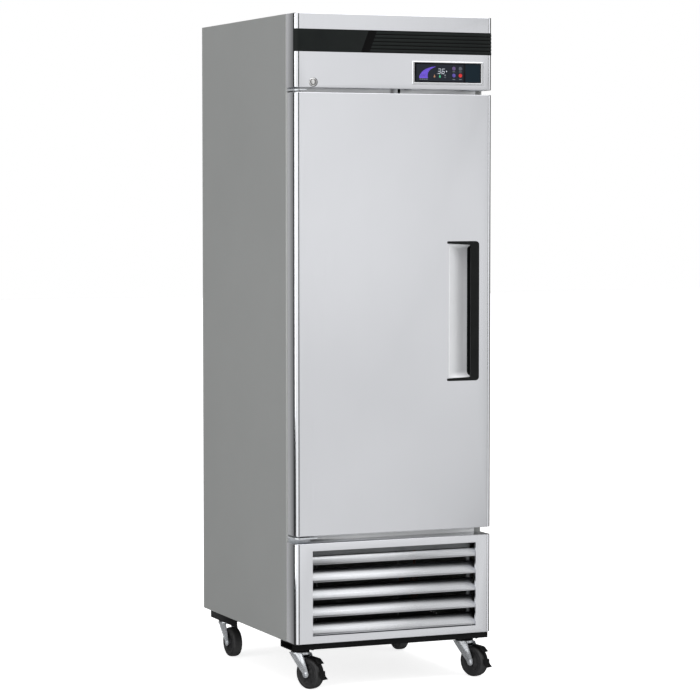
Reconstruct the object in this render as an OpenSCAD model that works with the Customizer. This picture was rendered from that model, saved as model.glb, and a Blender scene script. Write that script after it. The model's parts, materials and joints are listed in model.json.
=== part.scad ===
// One-section reach-in refrigerator with a left-hinged solid door, on four swivel casters.
// Frame: +Z up, floor at z = 0, x = 0 on the centre plane, +X to the right seen from the front,
// +Y towards the back. The origin is the middle of the footprint.

/* [Cabinet] */
// Width over the side panels
body_w = 686; // [640:2:760]
// Depth from the door's face to the rear panel
body_d = 850; // [800:5:900]
// Height of the cabinet above its base rails
body_h = 1990; // [1950:5:2050]
// Place of the door's face in front of the origin
front_y = -415; // [-425:5:-405]
// Foam thickness of the side walls, floor and ceiling
wall = 58; // [45:1:62]
// Thickness of the sheet steel
sheet = 1; // [0.8:0.1:1.2]
// Radius of the front vertical corners
corner_r = 16; // [12:1:20]

/* [Front] */
// Thickness of the header, door and grille, up to the cabinet's face
front_t = 76; // [72:1:80]
// Top edge of the grille above the base rails
grille_top = 320; // [300:5:330]
// Bottom edge of the door
door_low = 344; // [338:1:360]
// Top edge of the door
door_high = 1743; // [1700:1:1745]
// Bottom edge of the header
header_low = 1758; // [1755:1:1765]
// Height of the dark trim band on the header
band_h = 71; // [50:1:80]

/* [Door] */
// Distance of the hinge axis from the door's left edge
hinge_in = 20; // [18:1:22]
// Distance of the hinge axis behind the door's face
hinge_back = 24; // [20:1:26]
// Radius of the hinge pins
hinge_pin_r = 6; // [5:0.5:7]
// Height of the handle
handle_h = 450; // [350:10:500]
// Middle height of the handle above the base rails
handle_mid = 1048; // [950:2:1100]

/* [Shelves] */
// Height of the lowest shelf above the base rails
shelf_low = 700; // [600:10:740]
// Spacing of the shelves
shelf_step = 320; // [300:10:330]
// Radius of the shelves' fine wires
wire_r = 1.6; // [1.2:0.1:2]
// Spacing of the fine wires
wire_pitch = 27; // [25:1:40]

/* [Casters] */
// Distance from the floor to the underside of the cabinet
base_z = 152; // [150:1:160]
// Wheel radius
wheel_r = 50; // [48:1:51]
// Wheel width
wheel_w = 34; // [30:1:38]
// Distance from swivel axis to wheel axle
trail = 45; // [40:1:46]
// Half the spacing of the swivels across the cabinet
swivel_x = 290; // [270:1:292]
// Front swivels behind the door's face
swivel_front = 92; // [85:1:100]
// Left rear swivel behind the door's face
rear_left = 760; // [720:5:765]
// Right rear swivel behind the door's face
rear_right = 666; // [620:2:740]
// Turn of the front casters
front_turn = 23; // [0:1:45]
// Turn of the rear casters
rear_turn = 3; // [0:1:45]

/* [Hidden] */
eps = 0.5;                          // how far a cutter runs past a face
half = body_w / 2;
round_fn = 64;
steel = "lightsteelblue";

// cabinet body
hem_r = 8;                          // bullnose of the side panels' front edges
hem_w = 24;
foam_low = grille_top + 10;         // underside of the insulated box
in_x = half - wall - 2 * sheet;     // half width of the food compartment
in_low = foam_low + wall + 2;
in_high = body_h - wall - 7;
in_back = body_d - wall - 3;
lintel_d = front_t + 54;            // back face of the wall above the door opening
sill_high = door_high - 43;         // top of the door opening

// front assembly
skin = 1.2;                         // header and grille sheet
flange_d = front_t - 4;             // depth of the header's and grille's inner flanges
door_t = front_t - 7;               // door without its gasket
liner_d = door_t - 3;
band_low = header_low + 112;
band_out = 1.5;                     // how far the band stands proud
band_wrap = 13;                     // how far it wraps round the corners
win_x = [66, 301];                  // display window, left and right
win_z = [header_low + 22, header_low + 84];
key_r = 6;
key_x = [205, 228];
key_z = [header_low + 45, header_low + 67];

switch_at = [35, 50];               // door switch: x, depth behind the door's face
switch_r = 4;

// door lock
lock_x = 61 - half;
lock_z = header_low + 17;
lock_r = 10;                        // barrel
plug_r = 7.8;
cam_l = 44;
cam_w = 12;
cam_d = 40;                         // front face of the cam behind the door's face

// hinges
hinge_x = hinge_in - half;
pin_fit = 0.06;
top_plate = door_high + 5;
low_plate = door_low - 10;
top_plate_x = hinge_x + 25;         // right ends of the two hinge plates
low_plate_x = hinge_x + 60;
plate_t = 5;
nose_r = 18;                        // round end of the hinge plates
bolt_pitch = 28;
closer_r = 10;
closer_h = 82;

// handle
grip_x = [185, 295.5];
bar_x = 266.5;
grip_z = [handle_mid - handle_h / 2, handle_mid + handle_h / 2];
arm_t = [8, 12];                    // arm height at its tip and at the bar
recess_x = [191, 256, 286];         // start, foot of the slope, end under the bar
recess_d = 34;

// grille
vent_x = [-285, 289];
vent_z = [23, 297];
slat_n = 5;
slat_pitch = 56;
slat_low = 250.3;                   // lower edge of the top slat
slat_face = 41;                     // height of a slat
top_slat_face = 26;
filter_z = [18, 302];
filter_rim = [14, 26];              // height of the filter's lower and upper border

// food compartment fittings
shelf_n = 3;                        // one node for each shelf
shelf_x = 270;
shelf_d = [170, 750];
rod_r = 3.5;
pilaster_d = [230, 690];
cover_d = [200, 640];
cover_low = 1745;
evap_fan_z = 1838;
evap_fan_r = 72;

// refrigeration set
cond_fan = [-95, 150];              // fan axis: x, height above the base rails
cond_fan_r = 95;
fan_shaft_r = 4;
fin_t = 0.6;                        // coil fins
tube_r = 5;                         // coil tubes and refrigerant lines
cond_x = [-234, 55];                // condenser, left and right
cond_d = [92, 144];
comp = [140, 655];                  // compressor axis: x, depth behind the door's face
comp_r = 82;
pan_x = [-310, -60];                // drain pan
pan_d = [560, 770];
pan_h = 44;
gland_x = 50 - half;                // gland of the power lead
gland_h = 26;
gland_r = 11.9;

// base and casters
front_rail = [24, 130];
rear_rail = [530, 780];             // side rails under the rear casters
rear_rail_w = 93;
rail_h = 23;
rail_t = 3;
seat_front = 62;                    // box over a rear caster, ahead of and behind its swivel
seat_back = 40;
axle_r = 5;
axle_fit = 0.06;
leg_t = 2.5;
leg_gap = 3.2;                      // between wheel and fork leg
head_r = 30;
king_r = 6;                         // kingpin of the swivel
crown_z = 112;
crown_t = 4;
brake_at = [20, 101.5];             // brake pivot: distance ahead of the swivel, height
brake_pin_r = 3;

// block by left/right, depth behind the door's face, and height above the cabinet's foot
module slab(x0, x1, d0, d1, h0, h1) {
    translate([x0, front_y + d0, base_z + h0]) cube([x1 - x0, d1 - d0, h1 - h0]);
}

// round bar along the depth
module rod_y(x, h, r, d0, d1, fn = round_fn) {
    translate([x, front_y + d0, base_z + h]) rotate([-90, 0, 0])
        cylinder(r = r, h = d1 - d0, $fn = fn);
}

// upright round bar
module rod_z(x, d, r, h0, h1, fn = round_fn) {
    translate([x, front_y + d, base_z + h0]) cylinder(r = r, h = h1 - h0, $fn = fn);
}

// prism whose two front vertical corners are round
module front_prism(hw, d0, d1, r, h0, h1) {
    translate([0, front_y + d0, base_z + h0]) linear_extrude(height = h1 - h0) {
        translate([-hw, r]) square([2 * hw, d1 - d0 - r]);
        translate([r - hw, 0]) square([2 * (hw - r), d1 - d0]);
        for (s = [-1, 1]) translate([s * (hw - r), r]) circle(r = r, $fn = round_fn);
    }
}

// folded sheet with round front corners, open at the back, with end flanges
module front_tray(t, back, flange, h0, h1) {
    difference() {
        front_prism(half, 0, back, corner_r, h0, h1);
        front_prism(half - t, t, back + eps, corner_r - t, h0 + t, h1 - t);
        slab(t - half, half - t, flange, back + eps, h0 - eps, h1 + eps);
    }
}

// rectangle from x0 to x1 whose right corners are round
module right_round(x0, x1, h0, h1, r) {
    translate([x0, h0]) square([x1 - x0 - r, h1 - h0]);
    translate([x0, h0 + r]) square([x1 - x0, h1 - h0 - 2 * r]);
    for (h = [h0 + r, h1 - r]) translate([x1 - r, h]) circle(r = r, $fn = round_fn);
}

// outline drawn as (x, height), extruded along the depth
module face_plate(d0, d1) {
    translate([0, front_y + d1, base_z]) rotate([90, 0, 0])
        linear_extrude(height = d1 - d0) children();
}

// outline drawn as (x, depth), extruded upwards
module plan_plate(h0, h1) {
    translate([0, front_y, base_z + h0]) linear_extrude(height = h1 - h0) children();
}

// ---------- cabinet ----------

module side_sheet() {
    plan_plate(0, body_h) {
        translate([half - sheet, front_t + hem_r]) square([sheet, body_d - front_t - hem_r]);
        translate([half - hem_w, front_t]) square([hem_w - hem_r, sheet]);
        translate([half - hem_r, front_t + hem_r]) intersection() {
            difference() {
                circle(r = hem_r, $fn = round_fn);
                circle(r = hem_r - sheet, $fn = round_fn);
            }
            translate([0, -hem_r]) square(hem_r);
        }
    }
}

module side_panel_right() {
    color("darkgray") side_sheet();
}

module side_panel_left() {
    color("darkgray") mirror([1, 0, 0]) side_sheet();
}

module top_panel() {
    color("darkgray")
        slab(sheet - half, half - sheet, front_t + 1, body_d - sheet, body_h - sheet, body_h);
}

module back_panel() {
    color("darkgray") slab(sheet - half, half - sheet, body_d - sheet, body_d, foam_low, body_h);
}

// food compartment grown by the given amount, open at the front
module cavity(grow, front) {
    slab(-in_x - grow, in_x + grow, front, in_back + grow, in_low - grow, sill_high + grow);
    slab(-in_x - grow, in_x + grow, lintel_d - grow, in_back + grow, in_low - grow, in_high + grow);
}

module cabinet_foam() {
    color("khaki") difference() {
        union() {
            slab(hem_r + 1 - half, half - hem_r - 1, front_t + 2, front_t + 12,
                 foam_low, body_h - sheet);
            slab(sheet - half, half - sheet, front_t + 10, body_d - sheet,
                 foam_low, body_h - sheet);
        }
        cavity(sheet, front_t);
    }
}

module cabinet_liner() {
    color("gainsboro") difference() {
        cavity(sheet, front_t + 2);
        cavity(0, front_t);
    }
}

module front_frame() {
    color("lightgray") difference() {
        slab(hem_r + 1 - half, half - hem_r - 1, front_t + 1, front_t + 2,
             foam_low, body_h - sheet);
        slab(-in_x, in_x, front_t, front_t + 3, in_low, sill_high);
    }
}

// right side rail: an angle under the cabinet's side and a box over the caster
module side_rail(d) {
    back = min(d + seat_back, rear_rail[1]);
    slab(half - rail_t, half, rear_rail[0], rear_rail[1], -rail_h, 0);
    slab(half - rear_rail_w, half, rear_rail[0], rear_rail[1], -rail_t, 0);
    difference() {
        slab(half - rear_rail_w, half, d - seat_front, back, -rail_h, 0);
        slab(half - rear_rail_w + rail_t, half - rail_t, d - seat_front + rail_t, back - rail_t,
             rail_t - rail_h, -rail_t);
    }
}

module base_rails() {
    color("black") {
        // hollow front rail, open at both ends
        difference() {
            slab(-half, half, front_rail[0], front_rail[1], -rail_h, 0);
            slab(-half - eps, half + eps, front_rail[0] + rail_t, front_rail[1] - rail_t,
                 rail_t - rail_h, -rail_t);
        }
        side_rail(rear_right);
        mirror([1, 0, 0]) side_rail(rear_left);
    }
}

// ---------- header ----------

module header_panel() {
    color(steel) difference() {
        front_tray(skin, front_t, flange_d, header_low, body_h);
        slab(win_x[0] - 2, win_x[1] + 2, -eps, 5, win_z[0] - 2, win_z[1] + 2);
        rod_y(lock_x, lock_z, lock_r + 0.3, -eps, 5);
        // slot for the lock's cam and hole for the door switch
        slab(lock_x - 8, lock_x + cam_l + 3, cam_d - 2, cam_d + 5, header_low - 1, header_low + 2);
        rod_z(switch_at[0], switch_at[1], switch_r + 0.05, header_low - 1, header_low + 3);
    }
}

module header_band() {
    color("dimgray") difference() {
        front_prism(half + band_out, -band_out, front_t, corner_r + band_out,
                    band_low, band_low + band_h);
        front_prism(half, 0, front_t + 1, corner_r, band_low - 1, band_low + band_h + 1);
        slab(-half - 2 * band_out, half + 2 * band_out, band_wrap, front_t + 1,
             band_low - 1, band_low + band_h + 1);
    }
}

module control_bezel() {
    color("silver") difference() {
        face_plate(-4, 0) translate([win_x[0] - 8, win_z[0] - 8])
            square([win_x[1] - win_x[0] + 18, win_z[1] - win_z[0] + 14]);
        slab(win_x[0], win_x[1], -5, 1, win_z[0], win_z[1]);
    }
}

module control_window() {
    color("black") {
        difference() {
            slab(win_x[0], win_x[1], -1, 2, win_z[0], win_z[1]);
            for (x = key_x, z = key_z) rod_y(x, z, key_r + 0.3, -2, 3);
        }
        // display housing behind the window, joined at its rim
        slab(win_x[0], win_x[1], 5, 28, win_z[0] + 3, win_z[1] - 3);
        for (x = [win_x[0], win_x[1] - 4]) slab(x, x + 4, 1, 6, win_z[0] + 3, win_z[1] - 3);
    }
}

// round key that stands 1.2 mm proud of the window
module key(x, z, c) {
    color(c) {
        rod_y(x, z, key_r, -2.2, 2.5);
        rod_y(x, z, key_r + 2, 2.1, 3.3);
    }
}

module lock_body() {
    color("silver") difference() {
        union() {
            rod_y(lock_x, lock_z, lock_r + 3, -2, 0);
            rod_y(lock_x, lock_z, lock_r, -1, 30);
        }
        rod_y(lock_x, lock_z, plug_r + 0.05, -3, 31);
    }
}

module lock_plug() {
    color("gray") difference() {
        rod_y(lock_x, lock_z, plug_r, -3, cam_d);
        slab(lock_x - 4, lock_x + 4, -4, 6, lock_z - 0.8, lock_z + 0.8);
    }
}

module lock_cam() {
    color("dimgray") face_plate(cam_d, cam_d + 3) translate([lock_x, lock_z]) {
        circle(r = 9, $fn = round_fn);
        translate([0, -cam_w / 2]) square([cam_l - cam_w / 2, cam_w]);
        translate([cam_l - cam_w / 2, 0]) circle(d = cam_w, $fn = round_fn);
    }
}

module door_switch() {
    color("black")
        rod_z(switch_at[0], switch_at[1], switch_r, door_high + 0.3, header_low + 17);
}

// ---------- hinges ----------

// hinge plate with a round nose at the pin
module hinge_plate(right, h0) {
    plan_plate(h0, h0 + plate_t) {
        translate([hinge_x, hinge_back]) circle(r = nose_r, $fn = round_fn);
        translate([hinge_x - nose_r, hinge_back])
            square([nose_r - hinge_x + right, front_t - hinge_back]);
        translate([hinge_x, hinge_back - nose_r])
            square([right - hinge_x, nose_r + front_t - hinge_back]);
    }
}

module hinge_top() {
    color("silver") {
        hinge_plate(top_plate_x, top_plate);
        slab(hinge_x - 14, top_plate_x, flange_d + 1, front_t, top_plate, top_plate + 50);
        rod_z(hinge_x, hinge_back, hinge_pin_r, door_high - 30, top_plate + 1);
    }
}

module hinge_bottom() {
    color("silver") {
        hinge_plate(low_plate_x, low_plate);
        slab(hinge_x - 14, low_plate_x, flange_d + 1, front_t, low_plate - 45,
             low_plate + plate_t);
        rod_z(hinge_x, hinge_back, hinge_pin_r, low_plate + 1, door_low + 32);
        for (i = [0 : 1])
            rod_z(hinge_x + 8 + i * bolt_pitch, 42, 7, low_plate - 5, low_plate + 1, 6);
    }
}

module door_closer() {
    color("gray") difference() {
        rod_z(hinge_x, hinge_back, closer_r, door_low + 1, door_low + closer_h);
        rod_z(hinge_x, hinge_back, hinge_pin_r + pin_fit, door_low, door_low + 40);
    }
}

// ---------- door ----------

// finger space: slopes inwards to the right and runs on behind the bar
module recess_plan(grow) {
    polygon([
        [recess_x[0] - grow, -6], [recess_x[0] - grow, 0.8], [recess_x[1] - grow, recess_d + grow],
        [recess_x[2] + grow, recess_d + grow], [recess_x[2] + grow, -6]
    ]);
}

module lock_pocket(deep) {
    slab(lock_x - 9, lock_x + 40, cam_d - 3, cam_d + 6, door_high - deep, door_high + 1);
}

module door_skin() {
    color(steel) difference() {
        front_tray(sheet, liner_d, liner_d, door_low, door_high);
        slab(recess_x[0] - 2, recess_x[2] + 2, -1, 2, grip_z[0] + 10, grip_z[1] - 10);
        rod_z(hinge_x, hinge_back, 9, door_high - 3, door_high + 1);
        rod_z(hinge_x, hinge_back, closer_r + 0.1, door_low - 1, door_low + 2);
        lock_pocket(3);
    }
}

module door_foam() {
    color("khaki") difference() {
        front_prism(half - sheet, sheet, liner_d, corner_r - sheet,
                    door_low + sheet, door_high - sheet);
        plan_plate(grip_z[0] + 10, grip_z[1] - 10) recess_plan(2);
        rod_z(hinge_x, hinge_back, hinge_pin_r + pin_fit, door_high - 34, door_high);
        rod_z(hinge_x, hinge_back, closer_r + 0.1, door_low, door_low + closer_h + 1);
        lock_pocket(16);
    }
}

module door_liner() {
    color("gainsboro") difference() {
        slab(sheet - half, half - sheet, liner_d, door_t, door_low + 1, door_high - 1);
        slab(-270, 270, door_t - 1.5, door_t + 1, door_low + 70, door_high - 70);
    }
}

module door_gasket() {
    color("dimgray") difference() {
        slab(-318, 318, door_t, front_t + 0.7, door_low + 8, door_high - 8);
        slab(-296, 296, door_t - 1, front_t + 1, door_low + 30, door_high - 30);
    }
}

module handle_recess() {
    color("darkgray") difference() {
        plan_plate(grip_z[0] + 10, grip_z[1] - 10) intersection() {
            recess_plan(2);
            square([half, 2 * recess_d]);
        }
        plan_plate(grip_z[0] + 12, grip_z[1] - 12) recess_plan(0);
    }
}

module handle_grip() {
    color([0.1, 0.1, 0.1]) difference() {
        face_plate(-4, 6) right_round(grip_x[0], grip_x[1], grip_z[0], grip_z[1], 12);
        // open middle of the C, with its tapering arms
        face_plate(-5, 7) polygon([
            [grip_x[0] - 1, grip_z[0] + arm_t[0]], [bar_x, grip_z[0] + arm_t[1]],
            [bar_x, grip_z[1] - arm_t[1]], [grip_x[0] - 1, grip_z[1] - arm_t[0]]
        ]);
        // the arms and the bar's outer edge lie on the door's skin
        slab(grip_x[0] - 1, bar_x, 0, 7, grip_z[0] - 1, grip_z[1] + 1);
        slab(recess_x[2], half, 0, 7, grip_z[0] - 1, grip_z[1] + 1);
        slab(bar_x - 1, half, 0, 7, grip_z[0] - 1, grip_z[0] + 12);
        slab(bar_x - 1, half, 0, 7, grip_z[1] - 12, grip_z[1] + 1);
    }
}

// ---------- grille ----------

module grille_frame() {
    color(steel) difference() {
        front_tray(skin, front_t, flange_d, 0, grille_top);
        slab(vent_x[0], vent_x[1], -1, 3, vent_z[0], vent_z[1]);
    }
}

// sloping blade with a lower lip
module slat(low, face) {
    translate([vent_x[0] + 1, front_y, base_z + low]) rotate([90, 0, 90])
        linear_extrude(height = vent_x[1] - vent_x[0] - 2)
            polygon([
                [24, face], [3, 6], [3, 0], [9, 0], [9, 1.5], [4.5, 1.5], [4.5, 5.5], [25.6, face]
            ]);
}

module grille_slats() {
    color(steel) for (i = [0 : slat_n - 1])
        slat(slat_low - i * slat_pitch, i == 0 ? top_slat_face : slat_face);
}

module dust_filter() {
    color("slategray") difference() {
        slab(-278, 282, 34, 44, filter_z[0], filter_z[1]);
        slab(-268, 272, 33, 45, filter_z[0] + filter_rim[0], filter_z[1] - filter_rim[1]);
    }
    color("slategray")
        slab(-269, 273, 37, 39, filter_z[0] + filter_rim[0] - 1, filter_z[1] - filter_rim[1] + 1);
}

// ---------- food compartment ----------

module shelf(h) {
    color("white") {
        for (s = [-1, 1]) rod_y(s * shelf_x, h, rod_r, shelf_d[0], shelf_d[1], 8);
        for (d = [shelf_d[0] + 4, (shelf_d[0] + shelf_d[1]) / 2, shelf_d[1] - 4])
            translate([-shelf_x, front_y + d, base_z + h]) rotate([0, 90, 0])
                cylinder(r = rod_r, h = 2 * shelf_x, $fn = 8);
        for (x = [wire_pitch - shelf_x : wire_pitch : shelf_x - wire_pitch + 1])
            rod_y(x, h + rod_r, wire_r, shelf_d[0] + 2, shelf_d[1] - 2, 6);
    }
}

module shelf_pilasters() {
    color("silver") for (s = [-1, 1], d = pilaster_d) difference() {
        slab(s * (in_x - 2) - 2, s * (in_x - 2) + 2, d - 10, d + 10, in_low + 20, sill_high - 20);
        for (i = [0 : 30]) slab(-in_x - 1, in_x + 1, d - 4, d + 4,
                                in_low + 50 + i * 38, in_low + 58 + i * 38);
    }
}

module shelf_clips() {
    inner = in_x - 4;
    color("silver") for (i = [0 : shelf_n - 1], s = [-1, 1], d = pilaster_d) {
        h = shelf_low + i * shelf_step - rod_r - 0.3;
        slab(min(s * inner, s * (inner - 16)), max(s * inner, s * (inner - 16)),
             d - 8, d + 8, h - 4, h);
        slab(min(s * inner, s * (inner - 2)), max(s * inner, s * (inner - 2)),
             d - 8, d + 8, h - 22, h - 3);
    }
}

module evaporator_cover() {
    color("gainsboro") {
        difference() {
            slab(-250, 250, cover_d[0], cover_d[1], cover_low, in_high);
            slab(-248.5, 248.5, cover_d[0] + 1.5, cover_d[1] - 1.5, cover_low + 1.5, in_high + 1);
            rod_y(0, evap_fan_z, evap_fan_r + 5, cover_d[0] - 1, cover_d[0] + 3);
            for (i = [0 : 5]) slab(-220, 220, cover_d[1] - 3, cover_d[1] + 1,
                                   cover_low + 25 + i * 24, cover_low + 37 + i * 24);
        }
        // fan motor on its bridge
        rod_y(0, evap_fan_z, 26, cover_d[0] + 50, cover_d[0] + 95);
        rod_y(0, evap_fan_z, fan_shaft_r, cover_d[0] + 20, cover_d[0] + 51);
        slab(-249, 249, cover_d[0] + 70, cover_d[0] + 75, evap_fan_z - 8, evap_fan_z + 8);
    }
}

// tube across the cabinet
module coil_tube(x0, x1, d, h) {
    translate([x0, front_y + d, base_z + h]) rotate([0, 90, 0])
        cylinder(r = tube_r, h = x1 - x0, $fn = 8);
}

module evaporator_coil() {
    fins_x = -206;
    fins_n = 40;
    fins_pitch = 10;
    front = cover_d[0] + 185;
    back = front + 150;
    ends = [fins_x - 9, fins_x + (fins_n - 1) * fins_pitch + 12];
    color("silver") {
        for (i = [0 : fins_n - 1])
            slab(fins_x + i * fins_pitch, fins_x + i * fins_pitch + fin_t, front + 5, back - 5,
                 cover_low + 20, in_high - 10);
        for (x = ends) slab(x, x + 9, front, back, cover_low + 12, in_high - 4);
        for (d = [30, 75, 120], h = [45, 90, 135])
            coil_tube(ends[0] + 5, ends[1] + 4, front + d, cover_low + h);
    }
}

// axial fan: hub and four raked blades, axis along the depth
module axial_fan(x, h, d0, depth, r, hub) {
    difference() {
        rod_y(x, h, hub, d0, d0 + depth);
        rod_y(x, h, fan_shaft_r + axle_fit, d0 + 6, d0 + depth + 1);
    }
    for (a = [0 : 90 : 270])
        translate([x, front_y + d0 + depth / 2, base_z + h]) rotate([0, a, 0])
            translate([hub - 2, 0, 0]) rotate([28, 0, 0])
                translate([0, -1, -r * 0.28]) cube([r - hub, 2, r * 0.56]);
}

module evaporator_fan() {
    color("white") axial_fan(0, evap_fan_z, cover_d[0] + 12, 30, evap_fan_r, 20);
}

module cabinet_lamp() {
    color("white") slab(-160, 160, lintel_d + 8, lintel_d + 34, in_high - 14, in_high);
}

// ---------- refrigeration set ----------

module compressor() {
    color([0.15, 0.15, 0.16]) {
        translate([comp[0], front_y + comp[1], base_z]) {
            translate([0, 0, 22]) rotate_extrude($fn = round_fn) {
                translate([0, 0]) square([comp_r - 20, 176]);
                translate([0, 20]) square([comp_r, 136]);
                for (z = [20, 156]) translate([comp_r - 20, z]) intersection() {
                    circle(r = 20, $fn = round_fn);
                    translate([0, -20]) square([20, 40]);
                }
            }
            // foot plate on rubber bushes
            translate([-95, -70, 16]) cube([190, 140, 4]);
            for (x = [-80, 80], y = [-55, 55]) translate([x, y, 0]) cylinder(r = 10, h = 17);
            translate([0, 0, 18]) cylinder(r = 50, h = 8);
            // terminal cover
            translate([-comp_r - 22, -30, 70]) cube([42, 60, 70]);
        }
    }
}

module condenser_coil() {
    fins_pitch = 7;
    fins_n = 41;
    end_t = 4;
    color("dimgray") {
        for (i = [0 : fins_n - 1])
            slab(cond_x[0] + end_t + i * fins_pitch, cond_x[0] + end_t + i * fins_pitch + fin_t,
                 cond_d[0] + end_t, cond_d[1] - end_t, 26, 278);
        for (x = [cond_x[0], cond_x[1] - end_t])
            slab(x, x + end_t, cond_d[0], cond_d[1], 20, 284);
        for (d = [15, 37], i = [0 : 4])
            coil_tube(cond_x[0] + 2, cond_x[1] - 3, cond_d[0] + d, 50 + i * 50);
        // tray under the fins, on two feet
        slab(cond_x[0], cond_x[1], cond_d[0], cond_d[1], 16, 21);
        for (x = [cond_x[0] + 14, cond_x[1] - 45])
            slab(x, x + 30, cond_d[0] + 8, cond_d[1] - 8, 0, 17);
    }
}

module condenser_fan() {
    color("gainsboro") axial_fan(cond_fan[0], cond_fan[1], 168, 34, cond_fan_r, 22);
}

module condenser_motor() {
    color([0.2, 0.2, 0.22]) {
        rod_y(cond_fan[0], cond_fan[1], 34, 212, 268);
        rod_y(cond_fan[0], cond_fan[1], fan_shaft_r, 176, 213);
        slab(cond_fan[0] - 3, cond_fan[0] + 3, 222, 258, 3, cond_fan[1]);
        slab(sheet - half, half - sheet, 200, 280, 0, 4);
    }
}

module drain_pan() {
    wall_t = 3;
    color("gray") difference() {
        slab(pan_x[0], pan_x[1], pan_d[0], pan_d[1], 0, pan_h);
        slab(pan_x[0] + wall_t, pan_x[1] - wall_t, pan_d[0] + wall_t, pan_d[1] - wall_t,
             wall_t, pan_h + 1);
    }
}

// quarter bend of a pipe, in the plane of x and z
module pipe_bend(r, bend) {
    rotate([90, 0, 0]) rotate_extrude(angle = 90, $fn = round_fn)
        translate([bend, 0]) circle(r = r, $fn = 24);
}

module refrigerant_lines() {
    bend = 25;
    port_z = 150;
    drier = [250, 400];
    color("peru") {
        // suction line: up from the compressor's side into the insulated box
        translate([comp[0] + comp_r, front_y + comp[1], base_z + port_z]) {
            rotate([0, 90, 0]) cylinder(r = tube_r, h = 24, $fn = 24);
            translate([24, 0, bend]) rotate([0, 90, 0]) pipe_bend(tube_r, bend);
            translate([24 + bend, 0, bend])
                cylinder(r = tube_r, h = foam_low - port_z - bend, $fn = 24);
        }
        // filter drier on the liquid line
        rod_z(drier[0], drier[1], 14, 60, 170, 32);
        rod_z(drier[0], drier[1], 4, 30, foam_low, 16);
    }
}

module rear_grille() {
    color("darkgray") difference() {
        slab(sheet - half, half - sheet, body_d - sheet, body_d, 0, foam_low);
        for (c = [-1 : 1], i = [0 : 7])
            slab(c * 205 - 80, c * 205 + 80, body_d - 3, body_d + 1, 50 + i * 30, 58 + i * 30);
        rod_y(gland_x, gland_h, gland_r + 0.1, body_d - 3, body_d + 1);
    }
}

module power_gland() {
    color([0.1, 0.1, 0.1]) difference() {
        union() {
            rod_y(gland_x, gland_h, gland_r, body_d - 8, body_d + 2);
            rod_y(gland_x, gland_h, gland_r + 5, body_d, body_d + 5, 6);
            rod_y(gland_x, gland_h, gland_r + 1, body_d + 4, body_d + 14);
        }
        rod_y(gland_x, gland_h, 5, body_d - 9, body_d + 15);
    }
}

// ---------- casters ----------

module at_swivel(sx, d, turn) {
    translate([sx * swivel_x, front_y + d, 0]) rotate([0, 0, turn]) children();
}

module caster_plates() {
    head_low = crown_z + crown_t + 0.3;
    color([0.12, 0.12, 0.12]) for (at = [[-1, swivel_front], [1, swivel_front],
                                         [-1, rear_left], [1, rear_right]])
        translate([at[0] * swivel_x, front_y + at[1], 0]) difference() {
            union() {
                translate([-38, -36, base_z - rail_h - 4]) cube([76, 72, 4]);
                translate([0, 0, head_low]) cylinder(r = head_r, h = base_z - rail_h - 3 - head_low);
            }
            translate([0, 0, head_low - 1]) cylinder(r = king_r + axle_fit, h = 6, $fn = 32);
        }
}

// side view of a fork leg: y ahead is negative
module leg_outline() {
    polygon([[-26, crown_z + 1], [26, crown_z + 1], [26, crown_z - 8],
             [-trail + 9, wheel_r - 6], [-trail - 9, wheel_r + 7]]);
    translate([-trail, wheel_r]) circle(r = 11, $fn = 32);
}

module fork() {
    inner = wheel_w / 2 + leg_gap;
    color("gainsboro") {
        translate([0, 0, crown_z]) cylinder(r = head_r + 1, h = crown_t);
        translate([0, 0, crown_z]) cylinder(r = king_r, h = crown_t + 4.5, $fn = 32);
        for (s = [-1, 1]) difference() {
            translate([s * (inner + leg_t / 2) - leg_t / 2, 0, 0]) rotate([90, 0, 90])
                linear_extrude(height = leg_t) leg_outline();
            translate([-50, -brake_at[0], brake_at[1]]) rotate([0, 90, 0])
                cylinder(r = brake_pin_r + 0.06, h = 100, $fn = 32);
        }
        // riveted axle
        translate([-inner - leg_t - 2, -trail, wheel_r]) rotate([0, 90, 0])
            cylinder(r = axle_r, h = 2 * (inner + leg_t + 2), $fn = 32);
        for (s = [-1, 1]) translate([s * (inner + leg_t + 1) - 1.5, -trail, wheel_r])
            rotate([0, 90, 0]) cylinder(r = 8, h = 3, $fn = 32);
    }
}

module wheel() {
    color([0.13, 0.13, 0.13]) translate([0, -trail, wheel_r]) rotate([0, 90, 0]) difference() {
        union() {
            rotate_extrude($fn = 96) {
                translate([0, -wheel_w / 2]) square([wheel_r - 6, wheel_w]);
                translate([0, 6 - wheel_w / 2]) square([wheel_r, wheel_w - 12]);
                for (s = [-1, 1]) translate([wheel_r - 6, s * (wheel_w / 2 - 6)])
                    circle(r = 6, $fn = 32);
            }
            translate([0, 0, -wheel_w / 2 - 2]) cylinder(r = 10, h = wheel_w + 4, $fn = 32);
        }
        translate([0, 0, -wheel_w]) cylinder(r = axle_r + axle_fit, h = 2 * wheel_w, $fn = 32);
    }
}

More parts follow.
